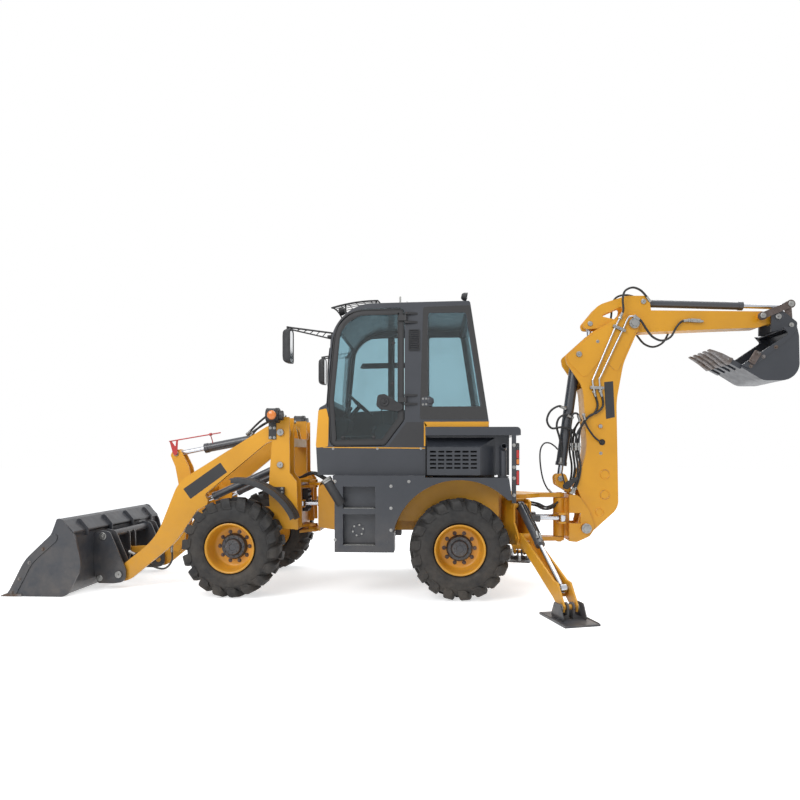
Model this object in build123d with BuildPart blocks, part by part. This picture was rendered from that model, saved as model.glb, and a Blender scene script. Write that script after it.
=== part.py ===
"""Backhoe loader with a centre-hinged frame, a front loader bucket and a rear digging arm.

X runs along the machine with the loader bucket at -X and the digging arm at +X, Y runs across it with
the door side at -Y, and Z points up from the floor.  All sizes are in millimetres.
"""
import os
from collections import namedtuple
from math import cos, radians, sin, tan

from build123d import *

os.makedirs("parts", exist_ok=True)

# ---------------------------------------------------------------- driving dimensions
FIT = 0.05                      # radial clearance of a pin or rod in its bore
SEAT = 0.3                      # gap between a piece and what carries it

CAB_FLOOR_Z = 1320              # underside of the cab and of the hood
DOOR_HINGE = (-22, -750)        # seen from above
DOOR_HINGE_Z = (2150, 3050)

# Wheels and axles
FRONT_X, REAR_X = -1905, 565    # axle stations
WHEEL_R = 537.5
TREAD_R = 500                   # carcass under the lugs
TRACK_Y = 830                   # centre plane of each wheel
TYRE_HALF = 202
BEAD_R = 256
RIM_HALF = 166
FACETS = 36                     # flats round a wheel, one lug on each
SPINDLE_R = 55
SPINDLE_END = 765
AXLE_END = 640
HUB_FACE = 648

# Centre hinge
HINGE_X = -1196
HINGE_PIN_R = 35
HINGE_PLATES = [(640, 670), (1180, 1210)]       # low and high of the rear frame's plates

# Loader
BOOM_PIVOT = (-1450, 1800)
BOOM_TIP = (-3340, 165)
BOOM_INNER, BOOM_OUTER = 495, 545
LIFT_EAR = (378, 396)           # inner ear of each lift rod, out from the centreline
LIFT_Y = (LIFT_EAR[1] + BOOM_INNER) / 2
LIFT_BASE, LIFT_EYE = (-1452, 1431), (-2390, 1006)
CROSS_TUBE = (-2575, 1120)      # between the arms
ROCKER_PIVOT = (-2755, 1095)
ROCKER_TOP = (-2885, 1560)
ROCKER_LOW = (-2863, 400)
ROCKER_INNER = 52
HITCH_LINK = (-3530, 360)
TILT_BASE = (-1440, 1835)
HITCH_EAR = 56
BUCKET_BACK_X = -3640
HITCH_FRONT = BUCKET_BACK_X + SEAT
BUCKET_HALF = 1045

# Digging arm
KING_X = 1790
FORK_PLATES = [(520, 570), (1040, 1090)]
BOOM_ROOT = (2067, 685)
BOOM_RAM_BASE, BOOM_RAM_EYE = (1791, 1263), (1993, 2729)
DIPPER_PIVOT = (2629, 3084)
DIPPER_RAM_BASE, DIPPER_HORN = (2240, 1880), (2136, 3098)
BUCKET_RAM_BASE = (2754, 3351)
GUIDE_PIVOT = (4078, 3150)
GUIDE_END = (4394, 3283)
BUCKET_PIVOT = (4263, 3143)
BUCKET_EAR = (4411, 3044)
DIG_HALF = 310
SWING_LEVER = 170
SWING_BASE_X, SWING_Z = 1095, 800
BOX_X = (1020, 1350)            # backhoe frame
BOX_HALF = 345

# Stabilizers
LEG_SWEEP = 16                  # degrees that each leg points rearwards
LEG_HINGE = (1275, 720, 640)
LEG_RAM_TOP = (-110, 340)       # out and up from the leg's hinge
LEG_INNER, LEG_OUTER = 57, 77   # faces of the leg's plates from its middle
BRACKET_INNER = LEG_OUTER + 7   # the same on the frame's bracket
LEG_REACH, LEG_DROP = 1000, 520  # hinge to pad pin, along the leg's plane and down
PAD_SIZE = (350, 520, 20)

PIN_R = 25                      # common pin of the hydraulic rams


# ---------------------------------------------------------------- shared shapes
ROUND_SHARE = 0.49              # most of a side that one rounded corner takes


def rounded(outline):
    """Closed line through the corners of an outline, where a corner's third number is its radius."""
    corners = [Vector(*corner[:2]) for corner in outline]
    arcs = []                   # start, middle and end of the arc at each corner
    for corner, before, after, size in zip(corners, corners[-1:] + corners[:-1], corners[1:] + corners[:1],
                                           [corner[2:] for corner in outline]):
        back, ahead = before - corner, after - corner
        half = radians(back.get_angle(ahead) / 2)
        reach = min(size[0] / tan(half), ROUND_SHARE * back.length, ROUND_SHARE * ahead.length) if size else 0
        inward = (back.normalized() + ahead.normalized()).normalized() if size else Vector(0, 0)
        middle = corner + inward * (reach * (1 - sin(half)) / cos(half))
        arcs.append((corner + back.normalized() * reach, middle, corner + ahead.normalized() * reach))
    for (start, middle, end), (following, _, _) in zip(arcs, arcs[1:] + arcs[:1]):
        if start != end:
            ThreePointArc(start, middle, end)
        Line(end, following)


def plate(outline, y_low, y_high, mode=Mode.ADD, grow=0):
    """Flat plate with an outline of (x, z, radius) corners, between two places across the machine."""
    with BuildSketch(Plane.XZ.offset(-y_low)) as face:
        with BuildLine():
            rounded(outline)
        make_face()
        if grow:
            offset(amount=grow, kind=Kind.INTERSECTION)
    extrude(face.sketch, amount=y_low - y_high, mode=mode)


def plates(outline, inner, outer, mode=Mode.ADD, grow=0):
    """The same plate on the left and on the right."""
    plate(outline, inner, outer, mode, grow)
    plate(outline, -outer, -inner, mode, grow)


def boss(place, radius, y_low, y_high, mode=Mode.ADD):
    """Round boss, pin or hole that runs across the machine at an (x, z) place."""
    with BuildSketch(Plane.XZ.offset(-y_low)) as face:
        with Locations(place):
            Circle(radius)
    extrude(face.sketch, amount=y_low - y_high, mode=mode)


def bosses(place, radius, inner, outer, mode=Mode.ADD):
    """The same boss on the left and on the right."""
    boss(place, radius, inner, outer, mode)
    boss(place, radius, -outer, -inner, mode)


def post(place, radius, z_low, z_high, mode=Mode.ADD):
    """Upright round bar or hole at an (x, y) place."""
    with BuildSketch(Plane.XY.offset(z_low)) as face:
        with Locations(place):
            Circle(radius)
    extrude(face.sketch, amount=z_high - z_low, mode=mode)


def slab(outline, z_low, z_high, mode=Mode.ADD):
    """Level plate with an outline of (x, y) corners between two heights."""
    with BuildSketch(Plane.XY.offset(z_low)) as face:
        with BuildLine():
            rounded(outline)
        make_face()
    extrude(face.sketch, amount=z_high - z_low, mode=mode)


def block(x, y, z, mode=Mode.ADD):
    """Box between two places along each axis, given as (low, high) pairs."""
    with Locations((sum(x) / 2, sum(y) / 2, sum(z) / 2)):
        Box(x[1] - x[0], y[1] - y[0], z[1] - z[0], mode=mode)


def bar(start, end, radius, mode=Mode.ADD):
    """Round bar or hole from one point to another."""
    run = Vector(*end) - Vector(*start)
    with BuildSketch(Plane(origin=start, z_dir=run)) as face:
        Circle(radius)
    extrude(face.sketch, amount=run.length, mode=mode)


def link_outline(start, end, half):
    """Straight bar outline between two pins in the machine's side plane."""
    run = Vector(end[0] - start[0], end[1] - start[1]).normalized()
    across = Vector(-run.Y, run.X) * half
    return [(start[0] + across.X, start[1] + across.Y), (end[0] + across.X, end[1] + across.Y),
            (end[0] - across.X, end[1] - across.Y), (start[0] - across.X, start[1] - across.Y)]


Ram = namedtuple("Ram", "base eye across barrel_r rod_r width gap closed")


def ram_barrel(ram):
    """Hydraulic barrel with a bored base eye and an open gland."""
    base, along = Vector(*ram.base), (Vector(*ram.eye) - Vector(*ram.base)).normalized()
    across = Vector(*ram.across)
    half = across * (ram.width / 2)
    gland = base + along * (ram.closed - 75)
    foot = base + along * (PIN_R + 8)
    bar(foot, gland, ram.barrel_r)
    bar(gland - along * 45, gland, ram.barrel_r + 6)
    bar(base - half, base + half, PIN_R + 20)
    bar(base + along * (PIN_R + 30), gland - along * 40, ram.barrel_r - 9, Mode.SUBTRACT)
    bar(gland - along * 60, gland + along * 5, ram.rod_r + FIT, Mode.SUBTRACT)
    bar(base - half * 1.2, base + half * 1.2, PIN_R + FIT, Mode.SUBTRACT)


def ram_rod(ram):
    """Chromed rod with its eye and the pin in that eye."""
    base, eye = Vector(*ram.base), Vector(*ram.eye)
    along = (eye - base).normalized()
    half = Vector(*ram.across) * (ram.width / 2)
    travel = (eye - base).length - ram.closed
    inner = base + along * (PIN_R + 40 + travel)
    pin = Vector(*ram.across) * (ram.gap / 2 - SEAT)
    bar(inner, eye - along * (PIN_R + 5), ram.rod_r)
    bar(eye - half, eye + half, PIN_R + 20)
    bar(eye - pin, eye + pin, PIN_R)


def side_ram(base, eye, y, *sizes):
    """Ram that works in the plane of the machine's side."""
    return Ram((base[0], y, base[1]), (eye[0], y, eye[1]), (0, 1, 0), *sizes)


LegPlace = namedtuple("LegPlace", "hinge out turn plane flip foot ram")


def leg_place(side):
    """Where one stabilizer leg stands: its hinge, directions, working plane, foot pin and ram."""
    sweep = radians(LEG_SWEEP)
    hinge = Vector(LEG_HINGE[0], side * LEG_HINGE[1], LEG_HINGE[2])
    out, turn = Vector(sin(sweep), side * cos(sweep), 0), Vector(cos(sweep), -side * sin(sweep), 0)
    up = Vector(0, 0, 1)
    plane = Plane(origin=hinge, x_dir=out, z_dir=turn)
    foot = hinge + out * LEG_REACH - up * LEG_DROP
    top = hinge + out * LEG_RAM_TOP[0] + up * LEG_RAM_TOP[1]
    eye = hinge + out * (LEG_REACH - 130) - up * (LEG_DROP - 150)
    ram = Ram(tuple(top), tuple(eye), tuple(turn), 45, 25, 60, 2 * LEG_INNER, 700)
    return LegPlace(hinge, out, turn, plane, plane.y_dir.Z, foot, ram)


def leg_plates(place, outline, inner, outer):
    """Pair of plates in a leg's plane, from (reach, height) corners about its hinge."""
    for low, high in ((inner, outer), (-outer, -inner)):
        with BuildSketch(place.plane.offset(low)) as face:
            with BuildLine():
                rounded([(reach, place.flip * height, *size) for reach, height, *size in outline])
            make_face()
        extrude(face.sketch, amount=high - low)


def save(name, builder):
    builder.part.label = name
    export_step(builder.part, f"parts/{name}.step")


# ---------------------------------------------------------------- wheels
def flat_drum(sections, mode=Mode.ADD):
    """Drum with FACETS flats round the Y axis, through (place across, corner radius) pairs."""
    faces = []
    for across, radius in sections:
        with BuildSketch(Plane.XZ.offset(-across)) as face:
            RegularPolygon(radius, FACETS, rotation=180 / FACETS)
        faces.append(face.sketch)
    loft(faces, ruled=True, mode=mode)


LUGS = FACETS // 2
LUG_HALF_WIDTH = 40
#               across, from the axle
LUG_OUTLINE = [(14, 485), (14, WHEEL_R), (152, WHEEL_R - 4), (TYRE_HALF + 1, 468), (180, 462)]


def lug_planes(side):
    """Planes that hold a lug's outline, with every second flat on each side."""
    angles = [radians((2 * turn + (side > 0)) * 360 / FACETS) for turn in range(LUGS)]
    return [Plane(origin=(0, 0, 0), x_dir=(0, side, 0), z_dir=(side * sin(a), 0, -side * cos(a)))
            for a in angles]


with BuildPart() as tyre_form:
    #           across, corner radius
    flat_drum([(-RIM_HALF, BEAD_R + 18), (-TYRE_HALF, 400), (-168, TREAD_R),
               (168, TREAD_R), (TYRE_HALF, 400), (RIM_HALF, BEAD_R + 18)])
    flat_drum([(-TYRE_HALF, BEAD_R), (TYRE_HALF, BEAD_R)], Mode.SUBTRACT)
    for side in (-1, 1):
        with BuildSketch(*lug_planes(side)) as lugs:
            with BuildLine():
                Polyline(*LUG_OUTLINE, close=True)
            make_face()
        extrude(lugs.sketch, amount=LUG_HALF_WIDTH, both=True)

RIM_R = BEAD_R - SEAT
DISC = (-32, -16)               # wheel disc, across from the wheel's centre plane
HUB_R = 128
with BuildPart() as rim_form:
    flat_drum([(-RIM_HALF - 12, RIM_R + 17), (-RIM_HALF - 1, RIM_R + 17)])
    flat_drum([(RIM_HALF + 1, RIM_R + 17), (RIM_HALF + 12, RIM_R + 17)])
    flat_drum([(-RIM_HALF - 2, RIM_R), (RIM_HALF + 2, RIM_R)])
    flat_drum([(-RIM_HALF - 13, RIM_R - 14), (DISC[0], RIM_R - 34)], Mode.SUBTRACT)
    flat_drum([(DISC[1], RIM_R - 34), (RIM_HALF + 13, RIM_R - 14)], Mode.SUBTRACT)
    boss((0, 0), HUB_R, HUB_FACE - TRACK_Y, 40)
    boss((0, 0), 88, 40, 78)
    boss((0, 0), SPINDLE_R + FIT, HUB_FACE - TRACK_Y - 1, SPINDLE_END - TRACK_Y + 5, Mode.SUBTRACT)
    with BuildSketch(Plane.XZ.offset(-DISC[1])) as nuts:
        with PolarLocations(170, 6):
            Circle(17)
        with PolarLocations(108, 10):
            Circle(9)
    extrude(nuts.sketch, amount=-22)

#         name, axle station, side
WHEELS = [("front_left", FRONT_X, -1), ("front_right", FRONT_X, 1),
          ("rear_left", REAR_X, -1), ("rear_right", REAR_X, 1)]
for name, axle_x, side in WHEELS:
    seat = Location((axle_x, side * TRACK_Y, WHEEL_R), (0, 0, 0 if side > 0 else 180))
    with BuildPart() as tyre:
        with Locations(seat):
            add(tyre_form.part)
    save(f"tyre_{name}", tyre)
    with BuildPart() as rim:
        with Locations(seat):
            add(rim_form.part)
    save(f"rim_{name}", rim)

for name, axle_x in (("front_axle", FRONT_X), ("rear_axle", REAR_X)):
    with BuildPart() as axle:
        with BuildSketch(Plane.YZ.offset(axle_x)) as half:
            with BuildLine():
                Polyline((0, WHEEL_R), (0, WHEEL_R + 150), (110, WHEEL_R + 140), (190, WHEEL_R + 80),
                         (AXLE_END - 40, WHEEL_R + 70), (AXLE_END - 40, WHEEL_R + 115),
                         (AXLE_END, WHEEL_R + 115), (AXLE_END, WHEEL_R + SPINDLE_R),
                         (SPINDLE_END, WHEEL_R + SPINDLE_R), (SPINDLE_END, WHEEL_R), close=True)
            make_face()
        revolve(half.sketch, Axis((axle_x, 0, WHEEL_R), (0, 1, 0)), 360)
        mirror(about=Plane.XZ)
        for side in (-1, 1):
            block((axle_x - 70, axle_x + 70), (side * 290 - 45, side * 290 + 45),
                  (WHEEL_R + 60, 662 - SEAT))
        bar((axle_x - 210, 0, WHEEL_R + 40), (axle_x + 210, 0, WHEEL_R + 40), 62)
    save(name, axle)

# ---------------------------------------------------------------- rear frame
RAIL_Z = (662, 900)
RAIL_END = BOX_X[0] - SEAT
RAIL_OUTLINE = [(-1080, 690), (-1080, 1160, 60), (-980, 1230, 80), (-700, 1230, 120), (-560, RAIL_Z[1], 120),
                (RAIL_END, RAIL_Z[1]), (RAIL_END, RAIL_Z[0]), (-900, RAIL_Z[0], 200)]
STEER_BASE, STEER_EYE, STEER_Z = (-700, 135), (-1290, 175), 960
STEER_GAP = 60
LEGS = [("left", -1), ("right", 1)]
with BuildPart() as rear_frame:
    plates(RAIL_OUTLINE, 250, 275)
    block((-1080, -1060), (-250, 250), (640, 1210))
    block((-640, -500), (-250, 250), (680, 860))
    block((100, 200), (-250, 250), (700, 880))
    block((900, 960), (-250, 250), (700, 880))
    for low, high in HINGE_PLATES:
        slab([(-1080, -240), (-1180, -80), (HINGE_X - 40, -65), (HINGE_X - 60, 0), (HINGE_X - 40, 65),
              (-1180, 80), (-1080, 240)], low, high)
        post((HINGE_X, 0), HINGE_PIN_R + FIT, low - 1, high + 1, Mode.SUBTRACT)
    for side in (-1, 1):
        y = side * STEER_BASE[1]
        block((-1090, -1050), sorted((y - side * 65, y + side * 110)), (STEER_Z - 70, STEER_Z + 70), Mode.SUBTRACT)
        post((STEER_BASE[0], y), PIN_R, STEER_Z - STEER_GAP, STEER_Z + STEER_GAP)
        for z in (STEER_Z - 50, STEER_Z + 30):
            block((-725, -640), sorted((y - side * 45, side * 252)), (z, z + 20))
    # cab, hood and tank carriers
    for x in (-420, 120, 1010):
        block((x - 30, min(x + 30, BOX_X[0] - SEAT)), (-560, 560), (RAIL_Z[1] - 20, RAIL_Z[1] + 60))
    for x in (-420, 120):
        for y in (-500, 500):
            block((x - 30, x + 30), (y - 35, y + 35), (RAIL_Z[1] + 50, CAB_FLOOR_Z - SEAT))
save("rear_frame", rear_frame)

# box that is open to the rear, with the fork for the swing post and the stabilizer brackets
with BuildPart() as backhoe_frame:
    block(BOX_X, (-BOX_HALF, BOX_HALF), (520, 545))
    block(BOX_X, (-BOX_HALF, BOX_HALF), (1065, 1090))
    block((BOX_X[0], BOX_X[0] + 25), (-BOX_HALF, BOX_HALF), (520, 1090))
    for y in (-BOX_HALF, BOX_HALF - 25):
        block(BOX_X, (y, y + 25), (520, 1090))
    for _, side in LEGS:
        place = leg_place(side)
        leg_plates(place, [(-395, -115), (40, -70), (70, 0), (30, 70), (-50, 160), (-50, 380), (-100, 410),
                           (-395, 410)], BRACKET_INNER, BRACKET_INNER + 20)
        leg_plates(place, [(-395, 390), (-190, 390), (-190, 410), (-395, 410)], 0, BRACKET_INNER + 1)
        leg_plates(place, [(-395, -115), (-90, -84), (-90, -64), (-395, -95)], 0, BRACKET_INNER + 1)
        pin = place.turn * (BRACKET_INNER + 28)
        bar(place.hinge - pin, place.hinge + pin, 30)
        bar(Vector(*place.ram.base) - pin, Vector(*place.ram.base) + pin, PIN_R)
    for low, high in FORK_PLATES:
        slab([(1340, -300), (1400, -260), (1540, -95), (KING_X, -62), (KING_X + 45, -45),
              (KING_X + 60, 0), (KING_X + 45, 45), (KING_X, 62), (1540, 95), (1400, 260), (1340, 300)],
             low, high)
    post((KING_X, 0), 32, FORK_PLATES[0][0] - 15, FORK_PLATES[1][1] + 6)
    for side in (-1, 1):
        y = side * SWING_LEVER
        post((SWING_BASE_X, y), PIN_R, SWING_Z - 70, SWING_Z + 70)
        for z in (SWING_Z - 60, SWING_Z + 40):
            block((BOX_X[0] + 20, SWING_BASE_X + 40), (y - 40, y + 40), (z, z + 20))
save("backhoe_frame", backhoe_frame)

with BuildPart() as engine_block:
    block((280, 970), (-240, 240), (RAIL_Z[1] + 5, 1560))
    for x in (340, 910):
        block((x - 40, x + 40), (-275, 275), (RAIL_Z[1] + SEAT, RAIL_Z[1] + 40))
    block((330, 950), (-150, 150), (1560, 1660))
save("engine_block", engine_block)

# ---------------------------------------------------------------- side boxes, steps and rear fenders
SIDE_IN, SIDE_OUT = 560, 860
ARCH_R = 735
FENDER_TOP, FENDER_WALL = 1296, 20
FENDER_PANEL = [(-150, 485), (-150, FENDER_TOP), (1093, FENDER_TOP, 15), (1128, 1058), (REAR_X, 1058)]
with BuildPart() as side_boxes:
    for side in (-1, 1):
        low, high = sorted((side * SIDE_IN, side * SIDE_OUT))
        block((-810, 195), (low, high), (1270, CAB_FLOOR_Z - SEAT))
        block((-790, -140), (low, high), (485, 1280))
        block((-150, 1090), (low, high), (FENDER_TOP - FENDER_WALL, FENDER_TOP))
        plate(FENDER_PANEL, *sorted((side * (SIDE_OUT - FENDER_WALL), side * SIDE_OUT)))
        boss((REAR_X, WHEEL_R), ARCH_R + 14, low, high)
        block((REAR_X - 2000, REAR_X + 2000), (low - 1, high + 1), (-400, 485), Mode.SUBTRACT)
        boss((REAR_X, WHEEL_R), ARCH_R, low - 1, high + 1, Mode.SUBTRACT)
        block((REAR_X + 500, REAR_X + 900), (low - 1, high + 1), (400, 1057), Mode.SUBTRACT)
        block((REAR_X - 780, REAR_X - 500), (low - 1, high + 1), (400, 700), Mode.SUBTRACT)
        block((-700, -345), sorted((side * (SIDE_OUT - 110), side * (SIDE_OUT + 1))),
              (960, 1200), Mode.SUBTRACT)
        block((-700, -345), sorted((side * (SIDE_OUT - 110), side * (SIDE_OUT + 1))),
              (560, 900), Mode.SUBTRACT)
save("side_boxes", side_boxes)

# ---------------------------------------------------------------- hood over the engine
HOOD_FRONT, HOOD_REAR, HOOD_HALF = 196 + SEAT, 1228, 790
HOOD_TOP = 1848 - SEAT
BAND_Z = 1757                   # underside of the top band
HOOD_BODY = (HOOD_FRONT, 1120)
HOOD_SIDE = 640                 # body's side, from which the louvre boxes stand out
HOOD_WALL = 20
LOUVRE_FRONT, LOUVRE_LOW = 215, 1323
#                across, rear, top
LOUVRE_LOFT = [(HOOD_SIDE - 1, 972, 1736), (800, 788, 1627)]
LOUVRE_ROWS, LOUVRE_COLUMNS = 5, 6
PIPE_XY, PIPE_R = (1050, -700), 36


def louvre_box(side, wall, mode=Mode.ADD):
    """Box that narrows outwards to its louvred face; wall is how far inside it the shape lies."""
    sections = []
    for across, rear, top in LOUVRE_LOFT:
        low = LOUVRE_LOW - wall
        with BuildSketch(Plane.XZ.offset(-side * (across - wall))) as section:
            with Locations(((LOUVRE_FRONT + rear) / 2, (low + top - wall) / 2)):
                Rectangle(rear - LOUVRE_FRONT - 2 * wall, top - wall - low)
        sections.append(section.sketch)
    loft(sections, ruled=True, mode=mode)


with BuildPart() as hood:
    plate([(HOOD_FRONT, BAND_Z), (HOOD_FRONT, HOOD_TOP), (HOOD_REAR, HOOD_TOP, 50), (HOOD_REAR, BAND_Z)],
          -HOOD_HALF, HOOD_HALF)
    block(HOOD_BODY, (-HOOD_SIDE, HOOD_SIDE), (CAB_FLOOR_Z, BAND_Z + 1))
    for side in (-1, 1):
        louvre_box(side, 0)
    block((HOOD_BODY[0] + HOOD_WALL, HOOD_BODY[1] - HOOD_WALL), (HOOD_WALL - HOOD_SIDE, HOOD_SIDE - HOOD_WALL),
          (CAB_FLOOR_Z - 1, HOOD_TOP - HOOD_WALL), Mode.SUBTRACT)
    for side in (-1, 1):
        louvre_box(side, HOOD_WALL, Mode.SUBTRACT)
        with BuildSketch(Plane.XZ.offset(-side * (LOUVRE_LOFT[1][0] + 1))) as louvres:
            with Locations((500, 1490)):
                with GridLocations(88, 44, LOUVRE_COLUMNS, LOUVRE_ROWS):
                    Rectangle(68, 20)
        extrude(louvres.sketch, amount=side * (HOOD_WALL + 2), mode=Mode.SUBTRACT)
        # corner posts under the rear of the band
        block((1135, 1178), sorted((side * 745, side * HOOD_HALF)), (1020, BAND_Z + 1))
    # tail pipe that stands on the rear fender, with its mouth to the side
    post(PIPE_XY, PIPE_R + 22, FENDER_TOP + SEAT, FENDER_TOP + 14)
    post(PIPE_XY, PIPE_R, FENDER_TOP + 13, 1640)
    bar((*PIPE_XY, 1600), (PIPE_XY[0], PIPE_XY[1] - 75, 1640), PIPE_R - 4)
    bar((*PIPE_XY, 1600), (PIPE_XY[0], PIPE_XY[1] - 90, 1648), PIPE_R - 9, Mode.SUBTRACT)
save("hood", hood)

# ---------------------------------------------------------------- cab
CAB_HALF = 730
WALL = 45
CAB_OUTLINE = [(-1000, 1320), (-1018, 1640, 60), (-985, 2065, 40), (-903, 2110, 40), (-824, 3214, 480),
               (684, 3233, 30), (890, 1905, 20), (890, 1848), (196, 1848), (196, 1320)]
CAB_INNER = [(-955, 1320 + WALL), (-973, 1640, 50), (-940, 2050, 30), (-860, 2090, 30), (-779, 3168, 435),
             (640, 3187, 20), (845, 1895), (151, 1895), (151, 1320 + WALL)]
DOOR_OUTLINE = [(-855, 1640, 70), (-888, 2150, 300), (-792, 3152, 420), (-40, 3160, 60), (-40, 1930, 60),
                (-250, 1650, 60)]
DOOR_GAP = 8


def roof_z(x):
    """Height of the roof's top face at a station along the machine."""
    (front_x, front_z, _), (rear_x, rear_z, _) = CAB_OUTLINE[4], CAB_OUTLINE[5]
    return front_z + (x - front_x) * (rear_z - front_z) / (rear_x - front_x)


SIDE_WINDOW = [(225, 3100, 30), (640, 3100, 30), (815, 1960, 30), (225, 1960, 30)]
PANE_IN = 45                    # window edge inside the door's own outline
DOOR_PANE_IN = 60
with BuildPart() as cab_shell:
    plate(CAB_OUTLINE, -CAB_HALF, CAB_HALF)
    plate(CAB_INNER, WALL - CAB_HALF, CAB_HALF - WALL, Mode.SUBTRACT)
    plate(DOOR_OUTLINE, -CAB_HALF - 1, WALL - CAB_HALF + 1, Mode.SUBTRACT, grow=DOOR_GAP)
    plate(DOOR_OUTLINE, CAB_HALF - WALL - 1, CAB_HALF + 1, Mode.SUBTRACT, grow=-PANE_IN)
    plates(SIDE_WINDOW, CAB_HALF - WALL - 1, CAB_HALF + 1, Mode.SUBTRACT)
    block((-1100, -700), (-640, 640), (2160, 2940), Mode.SUBTRACT)
    block((600, 1000), (-640, 640), (1960, 3080), Mode.SUBTRACT)
save("cab_shell", cab_shell)

with BuildPart() as cab_glass:
    plate(DOOR_OUTLINE, CAB_HALF - 26, CAB_HALF - 20, grow=-PANE_IN - SEAT)
    plates(SIDE_WINDOW, CAB_HALF - 26, CAB_HALF - 20, grow=-SEAT)
    plate([(-895, 2160 + SEAT), (-843, 2800), (-800, 2940 - SEAT), (-794, 2940 - SEAT), (-837, 2800),
           (-889, 2160 + SEAT)], -640 + SEAT, 640 - SEAT)
    plate([(865, 1960 + SEAT), (694, 3080 - SEAT), (700, 3080 - SEAT), (871, 1960 + SEAT)],
          -640 + SEAT, 640 - SEAT)
save("cab_glass", cab_glass)

with BuildPart() as door:
    plate(DOOR_OUTLINE, -CAB_HALF, 40 - CAB_HALF)
    plate(DOOR_OUTLINE, -CAB_HALF - 1, 41 - CAB_HALF, Mode.SUBTRACT, grow=-DOOR_PANE_IN)
    for z in DOOR_HINGE_Z:
        block((-100, DOOR_HINGE[0]), (-CAB_HALF - 28, -CAB_HALF - 5), (z - 30, z + 30))
        block((-100, -55), (-CAB_HALF - 10, 5 - CAB_HALF), (z - 30, z + 30))
        post(DOOR_HINGE, 16, z - 30, z + 30)
        post(DOOR_HINGE, 8 + FIT, z - 31, z + 31, Mode.SUBTRACT)
save("door", door)

with BuildPart() as door_glass:
    plate(DOOR_OUTLINE, 15 - CAB_HALF, 21 - CAB_HALF, grow=-DOOR_PANE_IN - SEAT)
save("door_glass", door_glass)

POLE, POLE_TOP, POLE_LENGTH = (-90, -560), 3332, 100
MIRROR_FOOT = (-843, 675)
with BuildPart() as cab_fittings:
    for z in DOOR_HINGE_Z:
        post(DOOR_HINGE, 8, z - 60, z + 60)
        for low in (z - 60, z + 35):
            block((DOOR_HINGE[0] - 12, 20), (-CAB_HALF - 28, -CAB_HALF - SEAT), (low, low + 25))
    for x in (-800, -600, -400):
        block((x, x + 12), (-560, 560), (3250, 3310))
    for y in (-560, -200, 200, 560):
        block((-860, -350), (y - 6, y + 6), (3250, 3310))
        block((-360, -350), (y - 6, y + 6), (roof_z(-350) + SEAT, 3260))
    post(POLE, 26, roof_z(POLE[0] + 26) + SEAT, POLE_TOP - POLE_LENGTH)
    post(POLE, 12, POLE_TOP - POLE_LENGTH - 1, POLE_TOP)
    for side in (-1, 1):
        bar((MIRROR_FOOT[0], side * MIRROR_FOOT[1], 2890), (-1270, side * 1020, 2890), 14)
        block((-1310, -1230), (side * 1020 - 90, side * 1020 + 90), (2520, 2880))
        block((560, 660), (side * 560 - 60, side * 560 + 60), (roof_z(660) + SEAT, 3370))
    # console with the steering wheel
    block((-940, -740), (-260, 260), (1365 + SEAT, 1980))
    bar((-780, 0, 1960), (-620, 0, 2140), 22)
    with BuildSketch(Plane(origin=(-610, 0, 2150), z_dir=(160, 0, 180))) as wheel:
        Circle(200)
        Circle(172, mode=Mode.SUBTRACT)
        Rectangle(380, 34)
    extrude(wheel.sketch, amount=24, both=True)
save("cab_fittings", cab_fittings)

with BuildPart() as seat_piece:
    block((-300, -150), (-120, 120), (1365 + SEAT, 1750))
    block((-480, 40), (-250, 250), (1750, 1890))
    plate([(-60, 1850), (100, 1900), (190, 2500), (110, 2540), (40, 2300)], -230, 230)
save("seat", seat_piece)

# ---------------------------------------------------------------- front frame
TOWER_OUTLINE = [(-1590, 1150), (-1530, 1975), (-1350, 1975), (-1345, 1340), (-1265, 1240), (-1250, 702),
                 (-1560, 702)]
with BuildPart() as front_frame:
    plates(TOWER_OUTLINE, 350, 370)
    plates(TOWER_OUTLINE, 575, 595)
    plates([(-2240, 690), (-2240, 860), (-1590, 900), (-1340, 1150), (-1320, 1150), (-1320, 662), (-2180, 662)],
           250, 275)
    block((-2240, -2200), (-275, 275), (690, 860))
    block((-1340, -1310), (-360, 360), (664, 1240))
    for side in (-1, 1):
        y = side * STEER_EYE[1]
        block((-1345, -1305), (y - 75, y + 75), (STEER_Z - STEER_GAP / 2, STEER_Z + STEER_GAP / 2), Mode.SUBTRACT)
        for z in (STEER_Z - STEER_GAP / 2 - 15, STEER_Z + STEER_GAP / 2):
            block((-1320, STEER_EYE[0] + 35), (y - 40, y + 40), (z, z + 15))
    block((-1560, -1340), (-575, 575), (702, 722))
    for low, high in HINGE_PLATES:
        for z in (low - 33, high + 3):
            slab([(-1320, -200), (HINGE_X - 30, -65), (HINGE_X + 40, -55), (HINGE_X + 60, 0),
                  (HINGE_X + 40, 55), (HINGE_X - 30, 65), (-1320, 200)], z, z + 30)
        post((HINGE_X, 0), HINGE_PIN_R, low - 33, high + 33)
    bosses(BOOM_PIVOT, 32, 350, 612)
    bosses(LIFT_BASE, PIN_R, 350, 612)
    boss(TILT_BASE, PIN_R, -100, 100)
    for y in (-85, 60):
        plate([(-1500, 1790), (-1480, 1890), (-1390, 1890), (-1350, 1700), (-1420, 1700)], y, y + 25)
    block((-1460, -1350), (-370, 370), (1640, 1740))
save("front_frame", front_frame)

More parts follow.
